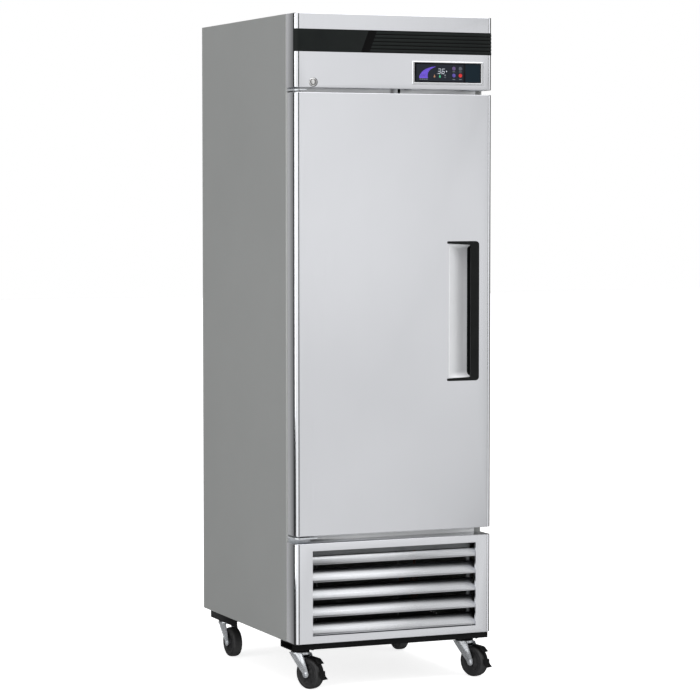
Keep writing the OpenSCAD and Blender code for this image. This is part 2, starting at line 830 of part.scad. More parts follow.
// brake lever: pivot pin, band over the tread, upper pedal and lower tab
module brake() {
    band_in = wheel_r + 3.5;
    band_t = 2.5;
    w = 26;
    color([0.1, 0.1, 0.1]) {
        translate([-wheel_w / 2 - leg_gap + 0.3, -brake_at[0], brake_at[1]]) rotate([0, 90, 0])
            cylinder(r = brake_pin_r, h = wheel_w + 2 * leg_gap - 0.6, $fn = 32);
        translate([-w / 2, 0, 0]) rotate([90, 0, 90]) linear_extrude(height = w) {
            difference() {
                translate([-trail, wheel_r]) difference() {
                    circle(r = band_in + band_t, $fn = 96);
                    circle(r = band_in, $fn = 96);
                }
                translate([-trail - 100, -100]) square([200, 150]);
                translate([-brake_at[0] + 2, 0]) square([200, 200]);
            }
            // lower tab, flared forwards
            polygon([[-trail - band_in, wheel_r], [-trail - band_in - 12, wheel_r - 14],
                     [-trail - band_in - 14, wheel_r - 12], [-trail - band_in - band_t, wheel_r + 3]]);
            // upper pedal
            polygon([[-trail + 2, wheel_r + band_in + 1.5], [-trail - 34, wheel_r + band_in - 2],
                     [-trail - 49, wheel_r + band_in - 16], [-trail - 46, wheel_r + band_in - 18],
                     [-trail - 33, wheel_r + band_in - 5.5], [-trail + 2, wheel_r + band_in - 1]]);
        }
    }
}

// ---------- assembly ----------

side_panel_left();
side_panel_right();
top_panel();
back_panel();
cabinet_foam();
cabinet_liner();
front_frame();
base_rails();
header_panel();
header_band();
control_bezel();
control_window();
key(key_x[1], key_z[0], "red");  // key_power
key(key_x[0], key_z[0], "slateblue");  // key_light
key(key_x[1], key_z[1], "gray");  // key_up
key(key_x[0], key_z[1], "mediumpurple");  // key_down
lock_body();
lock_plug();
lock_cam();
hinge_top();
hinge_bottom();
door_closer();
door_skin();
door_foam();
door_liner();
door_gasket();
handle_recess();
handle_grip();
grille_frame();
grille_slats();
dust_filter();
shelf(shelf_low);  // shelf_1
shelf(shelf_low + shelf_step);  // shelf_2
shelf(shelf_low + 2 * shelf_step);  // shelf_3
shelf_pilasters();
shelf_clips();
evaporator_cover();
evaporator_coil();
evaporator_fan();
cabinet_lamp();
door_switch();
compressor();
condenser_coil();
condenser_fan();
condenser_motor();
drain_pan();
refrigerant_lines();
rear_grille();
power_gland();
caster_plates();
at_swivel(-1, swivel_front, front_turn) fork();  // fork_front_left
at_swivel(1, swivel_front, front_turn) fork();  // fork_front_right
at_swivel(-1, rear_left, rear_turn) fork();  // fork_rear_left
at_swivel(1, rear_right, rear_turn) fork();  // fork_rear_right
at_swivel(-1, swivel_front, front_turn) wheel();  // wheel_front_left
at_swivel(1, swivel_front, front_turn) wheel();  // wheel_front_right
at_swivel(-1, rear_left, rear_turn) wheel();  // wheel_rear_left
at_swivel(1, rear_right, rear_turn) wheel();  // wheel_rear_right
at_swivel(-1, swivel_front, front_turn) brake();  // brake_left
at_swivel(1, swivel_front, front_turn) brake();  // brake_right
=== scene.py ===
"""A one-section reach-in refrigerator on casters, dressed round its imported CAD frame."""

import json
import math

import bmesh
import bpy
from mathutils import Matrix, Vector


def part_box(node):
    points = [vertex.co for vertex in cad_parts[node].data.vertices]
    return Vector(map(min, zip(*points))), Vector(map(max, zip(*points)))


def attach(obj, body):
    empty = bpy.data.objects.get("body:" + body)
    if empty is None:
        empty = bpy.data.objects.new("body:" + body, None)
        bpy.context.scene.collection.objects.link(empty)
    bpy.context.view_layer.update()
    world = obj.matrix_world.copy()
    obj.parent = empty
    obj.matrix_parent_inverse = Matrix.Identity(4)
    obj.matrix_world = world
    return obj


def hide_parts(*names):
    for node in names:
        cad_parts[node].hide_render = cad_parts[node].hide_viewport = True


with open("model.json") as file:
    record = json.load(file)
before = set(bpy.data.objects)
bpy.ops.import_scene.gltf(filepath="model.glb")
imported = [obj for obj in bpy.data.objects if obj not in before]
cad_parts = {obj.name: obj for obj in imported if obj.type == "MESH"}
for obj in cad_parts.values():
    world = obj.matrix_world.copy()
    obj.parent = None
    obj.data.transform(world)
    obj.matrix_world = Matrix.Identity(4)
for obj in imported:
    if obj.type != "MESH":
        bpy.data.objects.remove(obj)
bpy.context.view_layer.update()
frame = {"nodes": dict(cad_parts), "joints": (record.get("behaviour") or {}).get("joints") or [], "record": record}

# Cabinet space, in mm: x to the right, d behind the door's face, h above the cabinet's foot.
MM = 0.001
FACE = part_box("door_skin")[0].y
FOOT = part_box("side_panel_left")[0].z
CABINET = Matrix.Translation((0, FACE, FOOT)) @ Matrix.Scale(MM, 4)
JOINT = {joint["name"]: joint for joint in frame["joints"]}
CORNER = 16.0        # radius of the front vertical corners
SHEET = 1.0
TYRE_W = 34.0        # width of the wheels
TAU = 2 * math.pi


# ---------- places ----------

def cabinet_point(world):
    return CABINET.inverted() @ Vector(world)


def middle(low, high):
    return (low + high) / 2


def span(node):
    """Left, right, front, back, low and high of a CAD node, in cabinet space."""
    low, high = (cabinet_point(corner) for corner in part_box(node))
    return low.x, high.x, low.y, high.y, low.z, high.z


def lerp(a, b, t):
    return a + (b - a) * t


def ease(t):
    t = min(max(t, 0.0), 1.0)
    return t * t * (3 - 2 * t)


# ---------- outlines ----------

def rect(x0, x1, h0, h1):
    return [(x0, h0), (x1, h0), (x1, h1), (x0, h1)]


def polar(u, v, radius, angle):
    return u + radius * math.cos(angle), v + radius * math.sin(angle)


def disc(u, v, radius, steps=40):
    return [polar(u, v, radius, TAU * k / steps) for k in range(steps)]


def rounded(points, radii, steps=6, closed=True):
    """The outline or path with its corners turned into arcs."""
    points = [Vector(p).to_3d() for p in points]
    last = len(points) - 1
    path = []
    for i, corner in enumerate(points):
        radius = radii[i] if isinstance(radii, (list, tuple)) else radii
        if radius == 0 or (not closed and i in (0, last)):
            path.append(corner)
            continue
        u = (points[i - 1] - corner).normalized()
        v = (points[(i + 1) % len(points)] - corner).normalized()
        half = u.angle(v) / 2
        centre = corner + (u + v).normalized() * (radius / math.sin(half))
        start = corner + u * (radius / math.tan(half)) - centre
        end = corner + v * (radius / math.tan(half)) - centre
        path += [centre + start.slerp(end, k / steps).normalized() * radius
                 for k in range(steps + 1)]
    return path


def ribbon(path, thick):
    """Outline of a bent sheet whose middle follows a flat path."""
    path = [Vector(p).to_3d() for p in path]
    left, right = [], []
    for i, point in enumerate(path):
        along = (path[min(i + 1, len(path) - 1)] - path[max(i - 1, 0)]).normalized()
        across = Vector((-along.y, along.x, 0)) * (thick / 2)
        left.append(point + across)
        right.append(point - across)
    return left + right[::-1]


# ---------- meshes ----------

def put(name, data):
    """A new object in the scene, holding a mesh, a light or the camera."""
    obj = bpy.data.objects.new(name, data)
    bpy.context.scene.collection.objects.link(obj)
    return obj


def solid(name, verts, faces, matrix=CABINET):
    bm = bmesh.new()
    points = [bm.verts.new(v) for v in verts]
    for face in faces:
        bm.faces.new([points[i] for i in face])
    bmesh.ops.remove_doubles(bm, verts=bm.verts, dist=0.002)
    bmesh.ops.recalc_face_normals(bm, faces=bm.faces)
    mesh = bpy.data.meshes.new(name)
    bm.to_mesh(mesh)
    bm.free()
    mesh.transform(matrix)
    return put(name, mesh)


def loft(name, rings, cyclic=False, matrix=CABINET):
    """A closed skin over rings of points, with flat ends unless it is cyclic."""
    n = len(rings[0])
    verts = [p for ring in rings for p in ring]
    faces = []
    for i in range(len(rings) if cyclic else len(rings) - 1):
        a, b = i * n, (i + 1) % len(rings) * n
        faces += [(a + k, a + (k + 1) % n, b + (k + 1) % n, b + k) for k in range(n)]
    if not cyclic:
        faces += [tuple(range(n)), tuple(range(len(verts) - n, len(verts)))]
    return solid(name, verts, faces, matrix)


ALONG = {
    "x": lambda u, v, t: (t, u, v),
    "d": lambda u, v, t: (u, t, v),
    "h": lambda u, v, t: (u, v, t),
}


def prism(name, outline, start, end, axis="d", matrix=CABINET):
    """An outline pushed along an axis; its two coordinates are the other two axes in order."""
    place = ALONG[axis]
    rings = [[place(p[0], p[1], t) for p in outline] for t in (start, end)]
    return loft(name, rings, matrix=matrix)


def block(name, x0, x1, d0, d1, h0, h1, matrix=CABINET):
    return prism(name, rect(x0, x1, h0, h1), d0, d1, "d", matrix)


def lathe(name, profile, centre=(0, 0), axis="d", steps=48, cyclic=False, matrix=CABINET):
    """A turned part. The profile is (radius, distance along the axis)."""
    place = ALONG[axis]
    rings = []
    for radius, along in profile:
        turn = disc(centre[0], centre[1], max(radius, 1e-5), steps)
        rings.append([place(u, v, along) for u, v in turn])
    return loft(name, rings, cyclic, matrix)


def tube(name, path, radius, sides=12, cyclic=False, matrix=CABINET):
    """A round bar along a path; a list of radii lets it taper."""
    path = [Vector(p).to_3d() for p in path]
    rings, normal = [], None
    for i, point in enumerate(path):
        before = path[i - 1] if i or cyclic else point
        after = path[(i + 1) % len(path)] if i + 1 < len(path) or cyclic else point
        along = (after - before).normalized()
        normal = normal or along.orthogonal()
        normal = (normal - along * normal.dot(along)).normalized()
        side = along.cross(normal)
        r = radius[i] if isinstance(radius, list) else radius
        turn = disc(0, 0, r, sides)
        rings.append([point + normal * u + side * v for u, v in turn])
    return loft(name, rings, cyclic, matrix)


def frame_ring(name, profile, inner, outer):
    """A mitred frame between two rectangles; the profile is (share from inner to outer, d)."""
    corners = zip(rect(*inner), rect(*outer))
    rings = []
    for a, b in corners:
        rings.append([(lerp(a[0], b[0], t), d, lerp(a[1], b[1], t)) for t, d in profile])
    return loft(name, rings, cyclic=True)


def settle(obj):
    """Applies an object's modifiers to its mesh."""
    bpy.context.view_layer.update()
    mesh = bpy.data.meshes.new_from_object(
        obj.evaluated_get(bpy.context.evaluated_depsgraph_get()))
    obj.modifiers.clear()
    obj.data = mesh
    return obj


def soften(obj, width, segments=2, angle=38):
    bevel = obj.modifiers.new("edges", "BEVEL")
    bevel.width = width * MM
    bevel.segments = segments
    bevel.limit_method = "ANGLE"
    bevel.angle_limit = math.radians(angle)
    return settle(obj)


def hexagon(name, u, v, radius, start, end, edge=0.7, axis="h", matrix=CABINET):
    return soften(prism(name, disc(u, v, radius, 6), start, end, axis, matrix), edge, 2, 30)


def join(name, parts):
    """Several separate solids as one object."""
    bm = bmesh.new()
    for part in parts:
        bm.from_mesh(part.data)
        bpy.data.objects.remove(part)
    mesh = bpy.data.meshes.new(name)
    bm.to_mesh(mesh)
    bm.free()
    return put(name, mesh)


def combine(obj, tools, operation):
    for tool in tools:
        boolean = obj.modifiers.new("boolean", "BOOLEAN")
        boolean.object = tool
        boolean.operation = operation
        boolean.solver = "EXACT"
    settle(obj)
    for tool in tools:
        bpy.data.objects.remove(tool)
    return obj


def carve(obj, *tools):
    return combine(obj, [join("tools", tools)], "DIFFERENCE")


def weld(obj, *tools):
    return combine(obj, tools, "UNION")


# ---------- materials ----------

def add_node(tree, kind, inputs=None, **settings):
    node = tree.nodes.new(kind)
    for key, value in settings.items():
        setattr(node, key, value)
    for key, value in (inputs or {}).items():
        if isinstance(value, bpy.types.NodeSocket):
            tree.links.new(value, node.inputs[key])
        else:
            node.inputs[key].default_value = value
    return node


class Shader:
    """A principled material and short calls for the nodes that feed it."""

    def __init__(self, name, sockets):
        self.material = bpy.data.materials.new(name)
        self.material.use_nodes = True
        self.tree = self.material.node_tree
        self.surface = self.tree.nodes["Principled BSDF"]
        for key, value in sockets.items():
            self.surface.inputs[key].default_value = value
        self.place = self.add("ShaderNodeTexCoord").outputs["Object"]

    def add(self, kind, inputs=None, **settings):
        return add_node(self.tree, kind, inputs, **settings)

    def noise(self, scale, detail=3.0, rough=0.55):
        """Noise with features of 1/scale metres; scale is a number or one for each axis."""
        scale = scale if isinstance(scale, tuple) else (scale,) * 3
        place = self.add("ShaderNodeMapping", {"Vector": self.place, "Scale": scale})
        node = self.add("ShaderNodeTexNoise", {
            "Vector": place.outputs[0], "Scale": 1.0, "Detail": detail, "Roughness": rough})
        return node.outputs["Fac"]

    def remap(self, value, low, high, start=0.3, end=0.7):
        node = self.add("ShaderNodeMapRange", {
            "Value": value, "From Min": start, "From Max": end, "To Min": low, "To Max": high})
        return node.outputs["Result"]

    def mix(self, share, a, b):
        colours = {0: share, 6: a, 7: b}
        return self.add("ShaderNodeMix", colours, data_type="RGBA").outputs[2]

    def feed(self, key, value):
        self.tree.links.new(value, self.surface.inputs[key])

    def bump(self, height, depth):
        node = self.add("ShaderNodeBump", {"Height": height, "Strength": 1.0, "Distance": depth})
        self.feed("Normal", node.outputs[0])


def finish(name, light, dark=None, metallic=0.0, rough=(0.4, 0.5), patch=6.0, grain=700.0,
           depth=0.00003, dust=0.0, spangle=0.0, sockets=None):
    """Colour patches, grain, a matching gloss change and, where asked, spangle and dust."""
    dark = dark or tuple(c * 0.9 for c in light)
    shader = Shader(name, {"Metallic": metallic, **(sockets or {})})
    fine = shader.noise(grain, 2.0)
    cloud = shader.noise(patch, 4.0)
    colour = shader.mix(shader.remap(cloud, 0.0, 1.0), (*dark, 1), (*light, 1))
    if spangle:
        cells = shader.add("ShaderNodeTexVoronoi", {"Vector": shader.place, "Scale": spangle})
        split = shader.add("ShaderNodeSeparateColor", {"Color": cells.outputs["Color"]})
        bright = tuple(min(1.0, c * 1.25) for c in light)
        share = shader.remap(split.outputs[0], 0.0, 0.5, 0.0, 1.0)
        colour = shader.mix(share, colour, (*bright, 1))
    if dust:
        normal = shader.add("ShaderNodeNewGeometry").outputs["Normal"]
        up = shader.add("ShaderNodeSeparateXYZ", {"Vector": normal}).outputs["Z"]
        share = shader.remap(up, 0.0, dust, 0.2, 1.0)
        colour = shader.mix(share, colour, (0.42, 0.40, 0.37, 1))
    shader.feed("Base Color", colour)
    shader.feed("Roughness", shader.remap(fine, rough[0], rough[1]))
    shader.bump(fine, depth)
    return shader.material


def glow(name, colour, strength):
    """A lit mark on the display, a little uneven as a printed lens is."""
    shader = Shader(name, {"Roughness": 0.4, "Emission Strength": strength})
    cloud = shader.noise(90.0)
    dim = tuple(c * 0.72 for c in colour)
    shade = shader.mix(shader.remap(cloud, 0.0, 1.0), (*dim, 1), (*colour, 1))
    shader.feed("Base Color", shade)
    shader.feed("Emission Color", shade)
    return shader.material


UPRIGHT = (900.0, 900.0, 7.0)        # grain drawn up the sheet
ACROSS = (7.0, 900.0, 900.0)         # grain drawn across the sheet
DULL = {"Specular IOR Level": 0.12}

FINISHES = {
    "painted_side": dict(light=(0.40, 0.41, 0.405), dark=(0.38, 0.39, 0.385), metallic=0.35,
                         patch=1.6, grain=420.0),
    "stainless_front": dict(light=(0.76, 0.77, 0.80), dark=(0.72, 0.73, 0.76), metallic=1.0,
                            rough=(0.14, 0.19), patch=1.4, grain=UPRIGHT, depth=0.000006),
    "stainless_inside": dict(light=(0.72, 0.73, 0.74), dark=(0.62, 0.63, 0.64), metallic=1.0,
                             rough=(0.28, 0.42), patch=4.0, grain=ACROSS, depth=0.00002),
    "back_sheet": dict(light=(0.50, 0.51, 0.51), dark=(0.40, 0.41, 0.42), metallic=0.8,
                       rough=(0.35, 0.55), patch=2.5, grain=300.0, spangle=38.0),
    "foam": dict(light=(0.76, 0.66, 0.42), dark=(0.62, 0.52, 0.30), rough=(0.8, 0.95),
                 patch=30.0, grain=500.0, depth=0.0006),
    "black_frame": dict(light=(0.008, 0.008, 0.009), dark=(0.005, 0.005, 0.005),
                        rough=(0.38, 0.58), patch=14.0, grain=650.0, depth=0.00012,
                        sockets={"Specular IOR Level": 0.1}),
    "trim_black": dict(light=(0.014, 0.017, 0.016), dark=(0.010, 0.012, 0.012),
                       rough=(0.36, 0.48), patch=9.0, grain=1100.0, depth=0.00004,
                       sockets={"Specular IOR Level": 0.1}),
    "bezel_silver": dict(light=(0.76, 0.77, 0.79), dark=(0.68, 0.69, 0.71), metallic=1.0,
                         rough=(0.14, 0.24), patch=9.0, grain=ACROSS, depth=0.00001),
    "window_black": dict(light=(0.010, 0.011, 0.013), dark=(0.004, 0.004, 0.006),
                         rough=(0.16, 0.24), patch=20.0, grain=300.0, depth=0.000002,
                         sockets=DULL),
    "key_red": dict(light=(0.80, 0.035, 0.03), dark=(0.62, 0.02, 0.02), rough=(0.30, 0.42),
                    patch=120.0, grain=1500.0),
    "key_blue": dict(light=(0.12, 0.09, 0.44), dark=(0.08, 0.06, 0.32), rough=(0.30, 0.42),
                     patch=120.0, grain=1500.0),
    "key_grey": dict(light=(0.11, 0.12, 0.15), dark=(0.06, 0.07, 0.09), rough=(0.32, 0.45),
                     patch=120.0, grain=1500.0),
    "key_purple": dict(light=(0.16, 0.10, 0.26), dark=(0.10, 0.06, 0.18), rough=(0.32, 0.45),
                       patch=120.0, grain=1500.0),
    "lock_chrome": dict(light=(0.80, 0.80, 0.80), dark=(0.66, 0.66, 0.66), metallic=1.0,
                        rough=(0.08, 0.18), patch=80.0, grain=900.0, depth=0.00001),
    "zinc": dict(light=(0.80, 0.82, 0.85), dark=(0.66, 0.69, 0.72), metallic=0.6,
                 rough=(0.22, 0.34), patch=40.0, grain=500.0),
    "spring_steel": dict(light=(0.50, 0.50, 0.51), dark=(0.34, 0.34, 0.35), metallic=1.0,
                         rough=(0.28, 0.42), patch=50.0),
    "gasket_grey": dict(light=(0.13, 0.13, 0.135), dark=(0.09, 0.09, 0.095), rough=(0.5, 0.65),
                        patch=12.0, grain=900.0, depth=0.00005),
    "handle_black": dict(light=(0.011, 0.012, 0.012), dark=(0.007, 0.008, 0.008),
                         rough=(0.34, 0.48), patch=18.0, grain=1300.0, depth=0.00006,
                         sockets=DULL),
    "recess_grey": dict(light=(0.80, 0.81, 0.83), dark=(0.76, 0.77, 0.79),
                        rough=(0.45, 0.55), patch=9.0, grain=900.0),
    "filter_grey": dict(light=(0.018, 0.018, 0.018), dark=(0.007, 0.007, 0.007),
                        rough=(0.6, 0.75), patch=18.0, depth=0.0001,
                        sockets={"Specular IOR Level": 0.2}),
    "shelf_white": dict(light=(0.80, 0.80, 0.78), dark=(0.72, 0.72, 0.70), rough=(0.25, 0.38),
                        patch=30.0, grain=800.0, depth=0.00005, sockets={"Coat Weight": 0.4}),
    "white_plastic": dict(light=(0.74, 0.74, 0.72), dark=(0.66, 0.66, 0.63), rough=(0.35, 0.48),
                          patch=22.0, grain=1200.0, depth=0.00004),
    "lamp": dict(light=(0.92, 0.92, 0.88), dark=(0.84, 0.84, 0.80), rough=(0.25, 0.4),
                 patch=30.0, grain=(200.0, 900.0, 900.0), depth=0.0001,
                 sockets={"Transmission Weight": 0.25}),
    "aluminium_fins": dict(light=(0.62, 0.63, 0.64), dark=(0.38, 0.39, 0.40), metallic=1.0,
                           rough=(0.30, 0.50), patch=22.0, grain=600.0, depth=0.00006),
    "compressor_black": dict(light=(0.022, 0.022, 0.023), dark=(0.013, 0.013, 0.014),
                             rough=(0.28, 0.42), patch=16.0, grain=260.0, depth=0.00014,
                             dust=0.16),
    "copper": dict(light=(0.72, 0.36, 0.20), dark=(0.38, 0.19, 0.11), metallic=1.0,
                   rough=(0.24, 0.42), patch=26.0, grain=500.0, depth=0.00004),
    "grey_plastic": dict(light=(0.24, 0.25, 0.26), dark=(0.18, 0.19, 0.20), rough=(0.4, 0.55),
                         patch=18.0, grain=1000.0, depth=0.00005, dust=0.1),
    "tyre_black": dict(light=(0.024, 0.024, 0.025), dark=(0.012, 0.012, 0.013),
                       rough=(0.48, 0.68), patch=32.0, grain=800.0, depth=0.00018, dust=0.03),
}
MATERIALS = {slot: finish(slot, **recipe) for slot, recipe in FINISHES.items()}
LIT = {
    "white": glow("display_white", (0.70, 0.76, 0.84), 0.6),
    "violet": glow("display_violet", (0.13, 0.07, 0.56), 0.5),
    "amber": glow("display_amber", (0.42, 0.20, 0.10), 0.4),
    "green": glow("display_green", (0.05, 0.42, 0.20), 0.6),
    "pale": glow("display_pale", (0.22, 0.24, 0.27), 0.25),
}
# near-black that stands in for shade: painted shade in the band's grooves, its slanted bar and the lock's groove,
# and a painted shadow behind the lock ring
GROOVE_SHADE = finish("groove_shade_black", (0.006, 0.006, 0.006), rough=(0.6, 0.7),
                sockets={"Specular IOR Level": 0.03})


def dress(obj, material):
    obj.data.materials.clear()
    obj.data.materials.append(material)


def piece(obj, body, slot, *nodes, sharp=32, material=None):
    """Gives a finished mesh its material (the slot's, unless one is given) and body, and hides the CAD nodes it
    stands for.
    """
    dress(obj, material or MATERIALS[slot])
    obj.data.shade_smooth()
    obj.data.set_sharp_from_angle(angle=math.radians(sharp))
    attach(obj, body)
    if nodes:
        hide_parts(*nodes)
    return obj


# ---------- folded fronts ----------

def tray(name, node, sheet=SHEET, folded=False):
    """A folded front with round upright corners and soft long edges, open at the back."""
    x0, x1, d0, d1, h0, h1 = span(node)

    def plan(inset, back):
        corners = [(x0 + inset, back), (x0 + inset, inset), (x1 - inset, inset),
                   (x1 - inset, back)]
        return rounded(corners, [0, CORNER - inset, CORNER - inset, 0], 12)

    shell = soften(prism(name, plan(0, d1), h0, h1, "h"), 1.8, 3)
    shell = carve(shell, prism("hollow", plan(sheet, d1 + 5), h0 + sheet, h1 - sheet, "h"))
    if not folded:
        return shell
    inset, width, thick = 0.3, 5.5, 1.2
    edges = [sorted((way * (x1 - inset), way * (x1 - width))) for way in (-1, 1)]
    folds = [block("fold", a, b, d1 - thick, d1 - 0.02, h0 + inset, h1 - inset) for a, b in edges]
    return weld(shell, *folds)


def door_panels():
    x0, x1, d0, d1, h0, h1 = span("door_skin")
    recess = span("handle_recess")
    cam = span("lock_cam")
    hinge = cabinet_point(JOINT["door_hinge"]["pos_m"])
    lock_x = cabinet_point(JOINT["lock_turn"]["pos_m"]).x
    shell = carve(
        tray("door_shell", "door_skin"),
        prism("opening", rounded(rect(*recess[:2], *recess[4:]), 5), -5, 5),
        prism("pin_hole", disc(hinge.x, hinge.y, 9), h1 - 3, h1 + 3, "h"),
        prism("closer_hole", disc(hinge.x, hinge.y, 10.2), h0 - 3, h0 + 3, "h"),
        block("cam_slot", lock_x - 9, lock_x + 40, cam[2] - 3, cam[3] + 3, h1 - 3, h1 + 3))
    piece(shell, "door", "stainless_front", "door_skin")

    x0, x1, d0, d1, h0, h1 = span("door_liner")
    liner = soften(prism("door_liner_panel", rounded(rect(x0, x1, h0, h1), 5), d0, d1), 0.7)
    inner = rounded(rect(x0 + 72, x1 - 72, h0 + 70, h1 - 70), 22)
    pressing = soften(prism("pressing", inner, d1 - 1.6, d1 + 6), 1.2, 3)
    piece(carve(liner, pressing), "door", "stainless_inside", "door_liner")

    x0, x1, d0, d1, h0, h1 = span("door_gasket")
    wide, deep = 22.0, 7.7
    bellows = [(2, 0), (20, 0), (21.6, 1.5), (18.6, 2.9), (21.6, 4.4), (20.4, 6.6), (18, deep),
               (5, deep), (2, 6.6), (0.6, 4.4), (3.6, 2.9), (0.6, 1.5)]
    profile = [(u / wide, d0 + (d1 - d0) * v / deep) for u, v in bellows]
    ring = frame_ring("door_seal", profile, (x0 + wide, x1 - wide, h0 + wide, h1 - wide),
                      (x0, x1, h0, h1))
    piece(ring, "door", "gasket_grey", "door_gasket", sharp=50)


def handle():
    x0, x1, d0, d1, h0, h1 = span("handle_grip")
    bar_x = x1 - 29.0        # inner face of the bar
    tip, root = 8.0, 12.0    # heights of an arm at its end and at the bar
    outline = rounded(
        [(x0, h0), (x1, h0), (x1, h1), (x0, h1), (x0, h1 - tip), (bar_x, h1 - root),
         (bar_x, h0 + root), (x0, h0 + tip)], [3, 12, 12, 3, 2.5, 5, 5, 2.5], 8)
    grip = prism("handle_bar", outline, d0, d1)
    rx1 = span("handle_recess")[1] - 2
    lap = 0.02
    for box in ((x0 - 1, bar_x + 1.5, h0 - 1, h1 + 1), (rx1, x1 + 5, h0 - 1, h1 + 1),
                (x0 - 1, x1 + 5, h0 - 1, h0 + root + 1), (x0 - 1, x1 + 5, h1 - root - 1, h1 + 1)):
        grip = carve(grip, block("face", box[0], box[1], -lap, d1 + 1, box[2], box[3]))
    piece(soften(grip, 1.7, 4), "door", "handle_black", "handle_grip", sharp=50)

    # finger pan: the floor slopes in towards the bar, and the ends run out in round corners
    x0, x1, d0, d1, h0, h1 = span("handle_recess")
    foot, far, rim, thick = 256.0, x1 - 2.2, 0.15, 1.1
    fine_steps, fine_end = 14, foot + 14
    columns = [x0 + 0.1, x0 + 1.0]
    columns += [lerp(x0 + 1.0, fine_end, k / fine_steps) for k in range(1, fine_steps + 1)]
    columns += [lerp(fine_end, far - 5, k / 2) for k in (1, 2)]
    columns += [far - 3, far - 1.5, far - 0.5, far, x1 - 0.1]
    rows = [0.1, 1.0, 2.0, 3.5, 5.5, 8.0, 11.0, 15.0, 20.0]
    heights = [h0 + r for r in rows] + [h1 - r for r in reversed(rows)]
    deepest = d1 - 2.0

    def depth(x, h):
        if x >= x1 - 0.2:
            return rim
        along = (x - x0 - 1) / (foot - x0)
        slope = min(max(lerp(ease(along), along, 0.6), 0.0), 1.0)
        wall = ease((far + 0.2 - x) / 5.0)
        end = ease(min(h - h0 - 0.1, h1 - h - 0.1) / 15.0) ** 0.6
        return rim + (deepest - rim) * slope * wall * end

    rings = []
    for h in heights:
        front = [(x, depth(x, h), h) for x in columns]
        rings.append(front + [(x, d + thick, h) for x, d, h in reversed(front)])
    pan = piece(loft("handle_pan", rings), "door", "recess_grey", "handle_recess", sharp=60)
    # the wall behind the bar takes the bar's black: painted shadow of the bar
    pan.data.materials.append(MATERIALS["handle_black"])
    for face in pan.data.polygons:
        if cabinet_point(pan.matrix_world @ face.center).x > foot + 15:
            face.material_index = 1


def header():
    x0, x1, d0, d1, h0, h1 = span("control_window")
    lock = cabinet_point(JOINT["lock_turn"]["pos_m"])
    cam = span("lock_cam")
    switch = span("door_switch")
    low = span("header_panel")[4]
    plug_x, plug_d = middle(*switch[:2]), middle(*switch[2:4])
    shell = carve(
        tray("header_shell", "header_panel", 1.2, True),
        block("window", x0 - 2, x1 + 2, -5, 8, h0 - 2, h1 + 2),
        prism("lock_hole", disc(lock.x, lock.z, 10.3), -5, 8),
        block("cam_slot", lock.x - 8, cam[1] + 3, cam[2] - 2, cam[3] + 2, low - 3, low + 3),
        prism("switch_hole", disc(plug_x, plug_d, 4.3), low - 3, low + 3, "h"))
    piece(shell, "cabinet", "stainless_front", "header_panel")

    # covers over the unused hinge holes under the header
    for name, left, right in (("left", 57, 95), ("right", 262, 318)):
        plate = prism(f"gap_cover_{name}", rounded(rect(left, right, 6, 62), 5), low - 1.4,
                      low - 0.02, "h")
        piece(soften(plate, 0.4), "cabinet", "zinc")
        for i, x in enumerate((left + 10, right - 10)):
            screw(f"gap_screw_{name}_{i}", (x, 22), "h", low - 1.4, -1, 3.2)


def screw(name, centre, axis, seat, way, radius, body="cabinet", slot="zinc"):
    """A domed screw head standing on a face at seat, with a cross recess; way is +1 or -1."""
    rise, arm, half = radius * 0.55, radius * 0.55, radius * 0.11
    top = seat + way * rise
    dome = [(radius * math.cos(a), seat + way * rise * math.sin(a))
            for a in (0, 0.35, 0.7, 1.05, 1.35)] + [(0, top)]
    head = lathe(name, [(0, seat)] + dome, centre, axis, 24)
    u, v = centre
    slots = [prism("slot", rect(u - a, u + a, v - b, v + b), top - way * rise * 0.6,
                   top + way * 2, axis) for a, b in ((arm, half), (half, arm))]
    piece(combine(head, slots, "DIFFERENCE"), body, slot, sharp=40)


